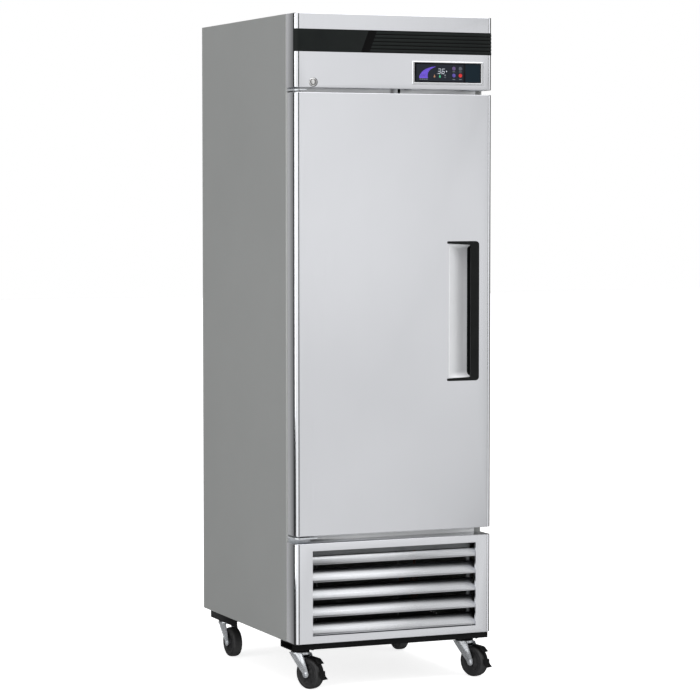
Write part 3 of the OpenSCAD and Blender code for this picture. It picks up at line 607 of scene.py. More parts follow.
def trim_band():
    """Dark band round the header: plain at the left, a slanted bar, then level ribs."""
    x0, x1, d0, d1, h0, h1 = span("header_band")
    proud = -d0
    hw, radius = x1 - proud, CORNER
    slant_low, slant_high, bar_w, edge_w = -118.0, -91.0, 27.0, 0.9
    turn = math.pi / 2 - math.asin((radius - d1) / radius)
    arc = radius * turn
    flat = 2 * (hw - radius)
    total = flat + 2 * arc

    def place(s, out, h):
        if arc <= s <= arc + flat:
            return (s - arc - flat / 2, -out, h)
        side = -1 if s < arc else 1
        bend = (arc - s if s < arc else s - arc - flat) / radius
        r = radius + out
        return (side * (hw - radius + r * math.sin(bend)), radius - r * math.cos(bend), h)

    ribs, edge = 6, 1.2
    pitch = (h1 - h0 - 2 * edge) / ribs
    shape = [(0.04, 0.42), (0.12, 0.78), (0.25, 0.95), (0.42, 1.0), (0.58, 0.95), (0.72, 0.78),
             (0.84, 0.50), (0.94, 0.30)]
    rows = [(h0, 0.35, 0.35), (h0 + 0.5, 0.9, 0.7)]
    for k in range(ribs):
        rows += [(h0 + edge + (k + t) * pitch, 1.0, lift) for t, lift in shape]
    rows += [(h1 - 0.5, 0.9, 0.7), (h1, 0.35, 0.35)]

    def slanted(h):
        return lerp(slant_low, slant_high, (h - h0) / (h1 - h0))

    def travel(zone, t, h):
        """Distance round the band, from its left end, of a point in one of its zones."""
        border = arc + flat / 2 + slanted(h)
        if zone == "left":
            return lerp(0, border - edge_w, t)
        return border + t if zone == "bar" else lerp(border + bar_w + edge_w, total, t)

    stations = [("left", t, 0) for t in (0, 0.012, 0.024, 0.036, 0.05, 0.064, 0.078, 0.3, 0.65)]
    stations += [("bar", -edge_w, 0), ("bar", 0.0, 1), ("bar", bar_w / 2, 1),
                 ("bar", bar_w, 1), ("bar", bar_w + edge_w, 2)]
    stations += [("right", t, 2) for t in (0.25, 0.5, 0.75)]
    stations += [("right", 1 - t, 2) for t in (0.05, 0.042, 0.034, 0.026, 0.018, 0.009, 0.0)]
    rings = []
    for i, (zone, t, kind) in enumerate(stations):
        end = 0.35 if i in (0, len(stations) - 1) else 1.0
        ring = []
        for h, plain, rib in rows:
            lift = (plain, 0.45 * plain, rib)[kind] * end
            ring.append(place(travel(zone, t, h), proud * lift, h))
        rings.append(ring + [place(travel(zone, t, h), 0.03, h) for h in (h1, h0)])
    band = piece(loft("trim_band", rings), "cabinet", "trim_black", "header_band", sharp=48)
    # the grooves between the ribs and the recessed slanted bar take the near-black: painted shade
    band.data.materials.append(GROOVE_SHADE)
    for face in band.data.polygons:
        at = cabinet_point(band.matrix_world @ face.center)
        share = (at.z - h0 - edge) / pitch % 1.0
        past = at.x - slanted(at.z)
        if -edge_w < past < bar_w + edge_w or (past >= bar_w + edge_w
                                               and not 0.12 < share < 0.84):
            face.material_index = 1


# ---------- controls ----------

def display():
    x0, x1, d0, d1, h0, h1 = span("control_window")
    bezel = span("control_bezel")
    section = [(0, 3), (0, -2.2), (0.06, -3.0), (0.16, -3.7), (0.32, bezel[2]), (0.5, -3.9),
               (0.72, -3.2), (0.9, -2.0), (0.98, -0.9), (1, -0.02), (0.6, 0.0)]
    ring = frame_ring("display_bezel", section, (x0, x1, h0, h1), bezel[:2] + bezel[4:])
    piece(ring, "cabinet", "bezel_silver", "control_bezel", sharp=28)

    centres = []
    for key, slot in (("key_power", "key_red"), ("key_light", "key_blue"),
                      ("key_up", "key_grey"), ("key_down", "key_purple")):
        k = span(key)
        centre = (middle(*k[:2]), middle(*k[4:]))
        centres.append(centre)
        cap = [(0, k[3]), (8, k[3]), (8, k[3] - 1.2), (6, k[3] - 1.2), (6, k[2] + 0.9),
               (5.7, k[2] + 0.4), (5.2, k[2] + 0.1), (4.6, k[2]), (3.4, k[2] + 0.25),
               (0, k[2] + 0.5)]
        piece(lathe(key + "_cap", cap, centre), key, slot, key, sharp=50)

    def bored(obj):
        return carve(obj, *(prism("hole", disc(x, h, 6.3), -6, 6) for x, h in centres))

    glass = bored(soften(block("display_glass", x0, x1, d0, 2, h0, h1), 0.3))
    piece(glass, "cabinet", "window_black", "control_window")

    def spot(u, v):
        return lerp(x0, x1, u), lerp(h0, h1, v)

    def mark(name, shape, slot, light, proud=0.1, bores=False):
        parts = [prism(name, [spot(*p) for p in outline], d0 - proud, d0 + 0.1)
                 for outline in shape]
        obj = join(name, parts)
        piece(bored(obj) if bores else obj, "cabinet", slot, material=light)

    mark("display_field", [rect(0.03, 0.735, 0.07, 0.93)], "window_black",
         finish("display_field", (0.019, 0.023, 0.032), rough=(0.3, 0.4), sockets=DULL), 0.04, True)
    mark("display_end", [rect(0.765, 0.985, 0.03, 0.97)], "window_black",
         finish("display_end", (0.007, 0.017, 0.026), rough=(0.3, 0.4), sockets=DULL), 0.04)

    # level arc: bars that lean over and taper as they rise
    bars, gap = 12, 0.16
    arc_rows = []
    for k in range(bars):
        for t in (k, k + 1 - gap):
            share = t / bars
            swing = math.radians(lerp(2, 84, share))
            reach = lerp(0.135, 0.006, share ** 1.15)
            outer = (0.345 - 0.275 * math.cos(swing), 0.20 + 0.62 * math.sin(swing))
            inner = (outer[0] + reach * math.cos(swing * 0.55),
                     outer[1] - 2.2 * reach * math.sin(swing * 0.55))
            arc_rows.append((outer, inner))
    arc = [[arc_rows[i][0], arc_rows[i][1], arc_rows[i + 1][1], arc_rows[i + 1][0]]
           for i in range(0, len(arc_rows), 2)]
    mark("display_level", arc, "key_purple", LIT["violet"])
    mark("display_level_foot", [rect(0.078 + k * 0.032, 0.1 + k * 0.032, 0.145, 0.18)
                                for k in range(4)], "key_grey", LIT["pale"])

    def digit(left, segments):
        wide, tall, thick, lean, low = 0.037, 0.24, 0.0046, 0.010, 0.46
        bars = {"top": (0, 1, 1, 1), "middle": (0, 0.5, 1, 0.5), "low": (0, 0, 1, 0),
                "left_up": (0, 0.5, 0, 1), "left_low": (0, 0, 0, 0.5),
                "right_up": (1, 0.5, 1, 1), "right_low": (1, 0, 1, 0.5)}
        shapes = []
        for name in segments:
            a, b, c, d = bars[name]
            (u0, v0), (u1, v1) = ((left + wide * p + lean * q, low + tall * q)
                                  for p, q in ((a, b), (c, d)))
            if b == d:
                shapes.append([(u0, v0 - thick * 2), (u1, v1 - thick * 2),
                               (u1, v1 + thick * 2), (u0, v0 + thick * 2)])
            else:
                shapes.append([(u0 - thick / 2, v0 + 0.02), (u0 + thick / 2, v0 + 0.02),
                               (u1 + thick / 2, v1 - 0.02), (u1 - thick / 2, v1 - 0.02)])
        return shapes

    three = digit(0.348, ("top", "middle", "low", "right_up", "right_low"))
    six = digit(0.408, ("top", "middle", "low", "left_up", "left_low", "right_low"))
    mark("display_digits", three + six, "lamp", LIT["white"])
    ratio = (x1 - x0) / (h1 - h0)

    def dot(u, v, r):
        return [(u + (p - u), v + (q - v) * ratio) for p, q in disc(u, v, r, 16)]

    mark("display_point", [dot(0.480, 0.58, 0.008)], "lamp", LIT["white"])
    tree = [(-0.014, 0.0), (0.014, 0.0), (0.0, 0.15)]
    for name, u, slot, light in (("warm", 0.300, "key_red", "amber"),
                                 ("run", 0.381, "key_grey", "green")):
        shapes = [[(u + a, 0.27 + b) for a, b in tree], rect(u - 0.004, u + 0.004, 0.25, 0.27)]
        mark(f"display_{name}", shapes, slot, LIT[light])
    mark("display_fan", [dot(0.459, 0.375, 0.010), rect(0.445, 0.473, 0.25, 0.265)],
         "key_grey", LIT["pale"])
    dashes = [rect(u - 0.02, u + 0.02, v, v + 0.022)
              for u in (0.591, 0.689) for v in (0.165, 0.555)]
    mark("display_dashes", dashes, "key_grey", LIT["pale"])


def lock():
    d0, d1 = span("lock_body")[2:4]
    at = cabinet_point(JOINT["lock_turn"]["pos_m"])
    centre = (at.x, at.z)
    plug = span("lock_plug")
    bore = (plug[1] - plug[0]) / 2 + 0.05
    ring = [(bore, d1), (10, d1), (10, 0.02), (13, 0.02), (13, -0.7), (12.5, -1.5), (11.4, d0),
            (9.6, d0), (8.7, -1.4), (bore, -0.6)]
    piece(lathe("lock_ring", ring, centre, steps=64, cyclic=True), "cabinet", "lock_chrome",
          "lock_body", sharp=40)
    # a black disc set down and to the right behind the ring: painted shadow of the ring
    seat = lathe("lock_ring_shadow", [(11, 0), (14.4, 0), (14.4, -0.35), (14, -0.5), (11, -0.5)],
                 (at.x + 1.1, at.z - 0.4), steps=48, cyclic=True)
    piece(seat, "cabinet", "trim_black", material=GROOVE_SHADE)
    # a dark sheet in the gap between ring and plug: painted shade
    groove = [(7.95, -0.72), (8.7, -1.42), (9.5, -2.0), (9.5, -2.06), (8.7, -1.5), (7.95, -0.8)]
    piece(lathe("lock_groove_shade", groove, centre, steps=64, cyclic=True), "cabinet", "trim_black",
          material=GROOVE_SHADE)
    r, half_key = bore - 0.05, 0.8
    core = [(0, plug[3]), (r, plug[3]), (r, plug[2] + 1.0), (r - 0.5, plug[2] + 0.3),
            (r - 1.3, plug[2]), (0, plug[2])]
    core = carve(lathe("lock_core", core, centre, steps=64),
                 block("keyway", at.x - 4, at.x + 4, plug[2] - 1, plug[2] + 8, at.z - half_key,
                       at.z + half_key))
    piece(core, "lock", "lock_chrome", "lock_plug", sharp=40)
    cam = span("lock_cam")
    outline = rounded([(at.x - 9, at.z - 7), (at.x + 4, at.z - 8.5), (at.x + 10, at.z - 6),
                       (cam[1], at.z - 6), (cam[1], at.z + 6),
                       (at.x + 10, at.z + 6), (at.x + 4, at.z + 8.5), (at.x - 9, at.z + 7)],
                      [6, 3, 3, 5.8, 5.8, 3, 3, 6], 6)
    arm = soften(prism("lock_arm", outline, cam[2], cam[3]), 0.5)
    piece(arm, "lock", "zinc", "lock_cam")
    screw("lock_nut", centre, "d", cam[3], 1, 4.0, "lock")

    x0, x1, d0, d1, h0, h1 = span("door_switch")
    plunger = [(0, h1), (4, h1), (4, h0 + 2.5), (3.4, h0 + 1.0), (2.0, h0 + 0.2), (0, h0)]
    piece(lathe("door_plunger", plunger, (middle(x0, x1), middle(d0, d1)), "h"), "door_switch",
          "trim_black", "door_switch", sharp=50)


# ---------- hinges ----------

def hinge(name, node, upper):
    """A plate under or over the door, folded at the back, with its pin and bolts."""
    x0, x1, d0, d1, h0, h1 = span(node)
    at = cabinet_point(JOINT["door_hinge"]["pos_m"])
    nose, plate, fold = 18.0, 5.0, 3.0
    low = span("door_skin")[5] + 5 if upper else span("door_skin")[4] - 10
    left = at.x - nose
    outline = rounded([(left, d1), (left, at.y - nose), (x1, at.y - nose), (x1, d1)],
                      [0, nose - 0.1, 6, 0], 10)
    body = soften(prism(name, outline, low, low + plate, "h"), 0.7)
    rise = (low + plate - 0.6, h1) if upper else (h0, low + 0.6)
    back = soften(prism("fold", rounded(rect(left + 4, x1, *rise), 4), d1 - fold, d1), 0.6)
    piece(weld(body, back), "cabinet", "zinc", node)
    pin_low, pin_high = (h0, low + 0.5) if upper else (low + plate - 0.5, h1)
    r, tip = 6, 1.2
    pin = [(0, pin_low), (r - tip, pin_low), (r, pin_low + tip), (r, pin_high - tip),
           (r - tip, pin_high), (0, pin_high)]
    piece(lathe(name + "_pin", pin, (at.x, at.y), "h"), "cabinet", "spring_steel")
    bolt_d, bolt_r, tall = 42, 7, 4.6
    for i, x in enumerate([x1 - 16] if upper else [at.x + 8, at.x + 36]):
        piece(hexagon(f"{name}_bolt_{i}", x, bolt_d, bolt_r, low - tall, low - 0.02), "cabinet",
              "zinc")


# ---------- grille ----------

def painted_blade_shade(near, far):
    """Steel that is clean at the lip and darkens towards the blade's back edge: painted shade from the blade
    above.
    """
    shader = Shader("blade_steel", {"Metallic": 1.0})
    fine = shader.noise(ACROSS, 2.0)
    depth = shader.add("ShaderNodeSeparateXYZ", {"Vector": shader.place}).outputs["Y"]
    ends = [FACE + MM * d for d in (near + 7.0, far - 2.0)]
    share = shader.remap(depth, 0.0, 1.0, *ends)
    shade = shader.mix(share, (0.52, 0.53, 0.55, 1), (0.04, 0.04, 0.042, 1))
    shader.feed("Base Color", shader.mix(shader.remap(fine, 0.0, 0.25), shade,
                                         (0.30, 0.30, 0.31, 1)))
    shader.feed("Roughness", shader.remap(fine, 0.24, 0.34))
    shader.bump(fine, 0.00001)
    return shader.material


def grille():
    x0, x1, d0, d1, h0, h1 = span("grille_slats")
    low, high = span("grille_frame")[4:]
    border = 23
    vent = (x0 - 1, x1 + 1, low + border, high - border)
    inset = (vent[0] + 1.2, vent[1] - 1.2, vent[2] + 1.2, vent[3] - 1.2)
    lip = frame_ring("lip", [(0, 0.5), (0, 9), (1, 9), (1, 0.5)], inset,
                     (vent[0] - 0.3, vent[1] + 0.3, vent[2] - 0.3, vent[3] + 0.3))
    shell = carve(tray("grille_shell", "grille_frame", 1.2, True),
                  prism("vent", rounded(rect(*vent), 2), -5, 5))
    piece(weld(shell, lip), "cabinet", "stainless_front", "grille_frame")

    count, pitch, top_face, face = 5, 56.0, 26.0, 41.0
    slats = []
    for k in range(count):
        low, tall = h1 - top_face - k * pitch, face if k else top_face
        path = rounded([(25.0 if k else 13.0, low + tall - 0.4), (3.7, low + 6.0),
                        (3.7, low + 0.7), (9.0, low + 0.7)], 2.2, 6, False)
        blade = prism("slat", [(p.x, p.y) for p in ribbon(path, 1.3)], x0, x1, "x")
        slats.append(soften(blade, 0.3, 2, 60))
    # the blades' steel darkens towards their back edges: painted shade from the blade above
    piece(join("grille_blades", slats), "cabinet", "stainless_front", "grille_slats", sharp=40,
          material=painted_blade_shade(d0, d1))

    x0, x1, d0, d1, h0, h1 = span("dust_filter")
    border, foot, head = 10.0, 14.0, 26.0
    inner = (x0 + border, x1 - border, h0 + foot, h1 - head)
    edge = [(0, d0 + 1), (0.1, d0), (0.9, d0), (1, d0 + 1), (1, d1 - 1), (0.9, d1), (0.1, d1),
            (0, d1 - 1)]
    ring = frame_ring("filter_frame", edge, inner, (x0, x1, h0, h1))
    piece(ring, "cabinet", "grey_plastic", "dust_filter", sharp=50)
    step, wire, mid = 3.4, 0.65, middle(d0, d1)
    wires = []
    for k in range(int((inner[1] - inner[0]) / step)):
        x = inner[0] + step * (k + 0.5)
        wires.append(prism("wire", disc(x, mid - wire, wire, 5), inner[2] - 1, inner[3] + 1, "h"))
    for k in range(int((inner[3] - inner[2]) / step)):
        h = inner[2] + step * (k + 0.5)
        wires.append(prism("wire", disc(mid + wire, h, wire, 5), inner[0] - 1, inner[1] + 1, "x"))
    piece(join("filter_wires", wires), "cabinet", "filter_grey", sharp=80)


# ---------- base ----------

def rails():
    """The folded base: a hollow front rail, side angles with caster seats, a pan and a strip."""
    x0, x1 = span("base_rails")[:2]
    low, thick, shelf_w = -23.0, 3.0, 93.0
    front, back, side_start, side_end = 24, 130, 530, 780
    outer = soften(prism("rail", rounded(rect(front, back, low, -0.02), 3.5), x0, x1, "x"), 0.6,
                   2, 60)
    hollow = rounded(rect(front + thick, back - thick, low + thick, -thick), 1.5)
    parts = [carve(outer, prism("bore", hollow, x0 - 5, x1 + 5, "x"))]
    section = rounded([(0.1, low), (0.1, -0.02), (shelf_w, -0.02), (shelf_w, -thick),
                       (thick, -thick), (thick, low)], [1, 2.5, 1, 1, 1, 1])
    seat_front, seat_back = 62, 40
    for way, side in ((-1, "left"), (1, "right")):
        angle = prism("angle", [(way * (x1 - p[0]), p[1]) for p in section], side_start, side_end)
        swivel = cabinet_point(JOINT["swivel_rear_" + side]["pos_m"])
        across = sorted((way * (x1 - thick - 0.05), way * (x1 - shelf_w + 0.05)))
        seat = block("seat", *across, swivel.y - seat_front,
                     min(swivel.y + seat_back, side_end - 0.1), low, -thick + 0.5)
        parts += [soften(angle, 0.5, 2, 60), soften(seat, 1.2)]
    piece(join("base_channels", parts), "cabinet", "black_frame", "base_rails", sharp=40)

    inner, pan_end = x1 - 1.3, 848.8
    pan = prism("base_pan", rounded(rect(-inner, inner, back + 0.1, pan_end), 6), -1.0, -0.05, "h")
    piece(soften(pan, 0.3), "cabinet", "black_frame")
    half, strip_low, strip_high = x1 - 10, 292, 329.8
    strip = prism("cross_rail", rounded(rect(-half, half, strip_low, strip_high), 3), 76.7, 78.4)
    piece(soften(strip, 0.4), "cabinet", "stainless_inside")


# ---------- casters ----------

class Caster:
    """One caster in its own space: swivel axis at x = y = 0, wheel towards -y, floor at z = 0."""

    def __init__(self, name):
        self.name = name
        swivel = Vector(JOINT["swivel_" + name]["pos_m"])
        axle = Vector(JOINT["roll_" + name]["axis"])
        turn = math.atan2(axle.y, axle.x)
        foot = Matrix.Translation((swivel.x, swivel.y, 0))
        self.space = foot @ Matrix.Rotation(turn, 4, "Z") @ Matrix.Scale(MM, 4)
        self.square = foot @ Matrix.Scale(MM, 4)
        hub = self.at_joint("roll_" + name)
        self.trail, self.radius = -hub.y, hub.z

    def at_joint(self, joint):
        return self.space.inverted() @ Vector(JOINT[joint]["pos_m"])

    def plate(self):
        """Top plate and ball race, fixed under the rail."""
        plate = prism("plate", rounded(rect(-38, 38, -36, 36), 7), 125.0, 128.98, "h",
                      self.square)
        parts = [soften(plate, 0.8, 2)]
        race = [(6.2, 126), (24, 126), (28, 125), (30, 122.8), (30, 120.2), (28.4, 119.4),
                (28.4, 118.8), (29.8, 118.2), (29.8, 117.0), (28.6, 116.3), (6.2, 116.3)]
        parts.append(lathe("race", race, axis="h", cyclic=True, matrix=self.square))
        for sx in (-1, 1):
            for sy in (-1, 1):
                parts.append(hexagon("bolt", sx * 31, sy * 29, 5.2, 121.4, 125.2, 0.6,
                                     matrix=self.square))
        return parts

    def fork(self):
        crown = [(6.05, 112), (24, 112), (27.5, 110.6), (29.2, 108.0), (30.8, 108.0),
                 (31, 111.5), (30.2, 114.6), (27, 116), (12, 116), (10, 114.8), (6.05, 114.8)]
        parts = [lathe("crown", crown, axis="h", cyclic=True, matrix=self.space)]
        king = [(0, 112.4), (6, 112.4), (6, 119.6), (5, 120.5), (0, 120.5)]
        parts.append(lathe("king", king, axis="h", steps=24, matrix=self.space))
        # each leg narrows from the crown down to the axle, then ends in a half round
        inner, thick, tip, top = TYRE_W / 2 + 3.2, 2.4, 12.5, 29.5
        down, turn = 12, 6
        for side in (-1, 1):
            rings = []
            for k in range(down + turn + 1):
                t = min(k / down, 1.0)
                swing = max(0, k - down) / turn * math.pi / 2
                high = lerp(112.5, self.radius, t) - tip * math.sin(swing)
                width = lerp(top, tip, t ** 1.3) * max(math.cos(swing), 0.03)
                lean = lerp(0, -self.trail, t)
                flat = ease(t * 1.25)
                row = []
                for j in range(11):
                    u = j / 5 - 1
                    bow = max(21.5, math.sqrt(30.2 ** 2 - (top * u) ** 2))
                    x = lerp(bow, inner + thick + 0.9 * (1 - u * u), flat)
                    row.append((x, lean + u * width))
                back = [(x - thick, y) for x, y in reversed(row)]
                rings.append([(side * x, y, high) for x, y in row + back])
            parts.append(loft("leg", rings, matrix=self.space))
        node = "fork_" + self.name
        reach = inner + thick + 4.4
        cap = [(0.0, reach), (4.5, reach - 0.3), (7.2, reach - 1.4), (8.2, reach - 3.2),
               (8.2, reach - 4.6), (5, inner)]
        profile = [(r, -x) for r, x in cap] + cap[::-1]
        axle = lathe("axle_" + self.name, profile, (-self.trail, self.radius), "x", 32,
                     matrix=self.space)
        piece(axle, node, "zinc", sharp=40)
        piece(join("yoke_" + self.name, parts), node, "zinc", node, sharp=45)

    def wheel(self):
        hw, r = TYRE_W / 2, self.radius
        side = [(5.08, hw + 1.8), (9.2, hw + 1.8), (10.2, hw + 1.0), (11.5, hw - 3.5),
                (14, hw - 5.0), (29, hw - 5.6), (31.5, hw - 4.6), (33, hw - 1.6),
                (34.2, hw - 0.9), (35.6, hw - 1.6), (36.6, hw - 0.8), (40, hw), (44, hw - 0.4),
                (47, hw - 2.2), (49, hw - 5.4), (r - 0.15, hw - 9.5)]
        profile = side + [(r, 0)] + [(a, -x) for a, x in reversed(side)]
        parts = [lathe("tread", profile, (-self.trail, r), "x", 96, cyclic=True,
                       matrix=self.space)]
        for way in (-1, 1):
            for ax, ay in disc(0, 0, 1, 6):
                mid = [(-self.trail + q * ax - w * ay, r + q * ay + w * ax)
                       for q, w in ((11, -2.2), (31.5, -1.4), (31.5, 1.4), (11, 2.2))]
                ends = sorted((way * (hw - 6.5), way * (hw - 3.4)))
                parts.append(soften(prism("rib", mid, *ends, "x", self.space), 0.5, 2, 30))
        node = "wheel_" + self.name
        piece(join("tyre_" + self.name, parts), node, "tyre_black", node, sharp=38)

    def brake(self, node):
        """Strap over the tread, with a foot pedal above and a release tab below."""
        near, thick, wide, narrow = self.radius + 2.4, 2.2, 13.0, 5.5
        mid = near + thick / 2
        pivot = math.radians(62)
        path = [polar(-self.trail, self.radius, mid, lerp(pivot, math.pi, k / 18))
                for k in range(19)]
        strap = prism("strap", ribbon(path, thick), -narrow, narrow, "x", self.space)
        lever = path[-3:] + [(-self.trail - mid - 3, self.radius - 6),
                             (-self.trail - mid - 12, self.radius - 13)]
        tab = prism("tab", ribbon(lever, thick), -wide, wide, "x", self.space)
        foot = rounded([(-self.trail + 2, self.radius + near + 0.6),
                        (-self.trail - 33, self.radius + near - 3.0),
                        (-self.trail - 48, self.radius + near - 17)], 14, 8, False)
        pedal = prism("pedal", ribbon(foot, thick), -wide, wide, "x", self.space)
        band = soften(weld(weld(strap, pedal), tab), 0.7, 2, 50)
        ribs = []
        for a, b in zip(foot[-8:-4], foot[-7:-3]):
            spot = middle(a, b)
            ribs.append(prism("grip", disc(spot.x, spot.y + 1.3, 0.9, 10), -wide + 2.5,
                              wide - 2.5, "x", self.space))
        pin = self.at_joint(node + "_release")
        end = TYRE_W / 2 + 2.9
        bar = lathe("pin", [(0, -end), (3, -end), (3, end), (0, end)], (pin.y, pin.z), "x", 24,
                    matrix=self.space)
        piece(join(node + "_pedal", [band, bar] + ribs), node, "black_frame", node, sharp=40)


def casters():
    plates = []
    for name in ("front_left", "front_right", "rear_left", "rear_right"):
        caster = Caster(name)
        plates += caster.plate()
        caster.fork()
        caster.wheel()
        if name.startswith("front"):
            caster.brake("brake_" + name.split("_")[1])
    piece(join("caster_mounts", plates), "cabinet", "black_frame", "caster_plates", sharp=40)


# ---------- food compartment ----------

def shelf(number):
    node = f"shelf_{number}"
    x0, x1, d0, d1, h0, h1 = span(node)
    rod, wire = 3.5, 1.6
    h = h0 + rod
    x, front, back = x1 - rod, d0 + 4, d1 - 4
    edge = rounded([(-x, front, h), (x, front, h), (x, back, h), (-x, back, h)], 14, 6)
    parts = [tube("edge", edge, rod, 14, cyclic=True)]
    centre = middle(front, back)
    parts.append(tube("bar", [(-x, centre, h), (x, centre, h)], rod * 0.9, 12))
    pitch = 27.0
    count = int((2 * x - 4) / pitch)
    left = -count * pitch / 2
    top = h + rod + 0.2
    for k in range(count + 1):
        wx = left + k * pitch
        if abs(wx) > x - 6:
            continue
        path = rounded([(wx, front + 1.5, h - 1.5), (wx, front - 0.5, top),
                        (wx, back + 0.5, top), (wx, back - 1.5, h - 1.5)], 2.4, 4, False)
        parts.append(tube("wire", path, wire, 8))
    piece(join(node + "_wires", parts), node, "shelf_white", node, sharp=60)


def fan(name, node, body, hub, radius, blades, slot):
    """A moulded fan: a domed hub and swept blades of aerofoil section."""
    x0, x1, d0, d1, h0, h1 = span(node)
    cx, ch, mid = middle(x0, x1), middle(h0, h1), middle(d0, d1)
    shaft = 4.1
    cap = [(0, d0 + 0.5), (hub * 0.6, d0 + 1.2), (hub * 0.9, d0 + 4), (hub, d0 + 9),
           (hub, d1), (hub - 3, d1), (hub - 3.5, d0 + 12), (9, d0 + 10), (9, d1 - 2),
           (shaft, d1 - 2), (shaft, d0 + 6.4), (0, d0 + 6.4)]
    parts = [lathe("hub", cap, (cx, ch), steps=40)]
    foil = [(-1, 0), (-0.6, 0.75), (0, 1), (0.6, 0.7), (1, 0), (0.6, -0.35), (0, -0.4),
            (-0.6, -0.3)]
    reach = radius - 1.5
    for k in range(blades):
        rings = []
        for i in range(9):
            t = i / 8
            r = lerp(hub - 1.5, reach, t)
            chord = lerp(hub * 0.8, radius * 0.42, math.sin(t * math.pi / 2))
            chord *= math.sqrt(max(0.02, 1 - max(0, t - 0.75) * 2.9)) if t > 0.75 else 1
            tilt = math.radians(lerp(42, 24, t))
            sweep = 0.28 * t * t
            ring = []
            for s, lift in foil:
                across = s * chord
                angle = TAU * k / blades + sweep + across * math.cos(tilt) / r
                depth = across * math.sin(tilt) + lift * 1.2 + (1 - s * s) * 2.0 - 1
                depth = min(max(depth, d0 - mid), d1 - mid)
                x, h = polar(cx, ch, r, angle)
                ring.append((x, mid + depth, h))
            rings.append(ring)
        parts.append(loft("blade", rings))
    piece(join(name, parts), body, slot, node, sharp=50)


def food_compartment():
    for number in (1, 2, 3):
        shelf(number)
    x0, x1, d0, d1, h0, h1 = span("evaporator_cover")
    fan_box = span("evaporator_fan")
    cx, ch = middle(*fan_box[:2]), middle(*fan_box[4:])
    shell = soften(block("evaporator_housing", x0, x1, d0, d1, h0, h1), 5.0, 4)
    shell = carve(shell, block("inside", x0 + 1.5, x1 - 1.5, d0 + 1.5, d1 - 1.5, h0 + 1.5,
                               h1 + 20))
    slots = [prism("slot", rounded(rect(-220, 220, h0 + 25 + k * 24, h0 + 37 + k * 24), 5),
                   d1 - 8, d1 + 8) for k in range(6)]
    shell = carve(shell, prism("mouth", disc(cx, ch, 77, 72), d0 - 5, d0 + 8), *slots)
    piece(shell, "cabinet", "white_plastic", "evaporator_cover")
    guard = [tube("ring", [(x, d0 - 1.4, h) for x, h in disc(cx, ch, r, 48)], 1.3, 8, cyclic=True)
             for r in (18, 33, 48, 63, 78)]
    for start, end in zip(disc(cx, ch, 17, 8), disc(cx, ch, 84, 8)):
        guard.append(tube("spoke", [(x, d0 - 1.2, h) for x, h in (start, end)], 1.5, 8))
    piece(join("evaporator_guard", guard), "cabinet", "zinc", sharp=60)
    motor = [(0, d0 + 21), (4, d0 + 21), (4, d0 + 50), (22, d0 + 50), (26, d0 + 54),
             (26, d0 + 90), (22, d0 + 95), (0, d0 + 95)]
    parts = [lathe("motor", motor, (cx, ch)),
             soften(block("bridge", x0 + 1.6, x1 - 1.6, d0 + 70, d0 + 74, ch - 9, ch + 9), 0.8)]
    piece(join("evaporator_motor", parts), "cabinet", "compressor_black", sharp=45)
    fan("evaporator_blades", "evaporator_fan", "evaporator_fan", 20, 72, 5, "white_plastic")

    x0, x1, d0, d1, h0, h1 = span("cabinet_lamp")
    outline = rounded([(d0, h1), (d0 + 2, h0), (d1 - 2, h0), (d1, h1)], [0, 8, 8, 0], 8)
    cover = soften(prism("lamp_cover", outline, x0, x1, "x"), 1.2, 3, 50)
    piece(cover, "cabinet", "lamp", "cabinet_lamp", sharp=50)


# ---------- refrigeration set ----------

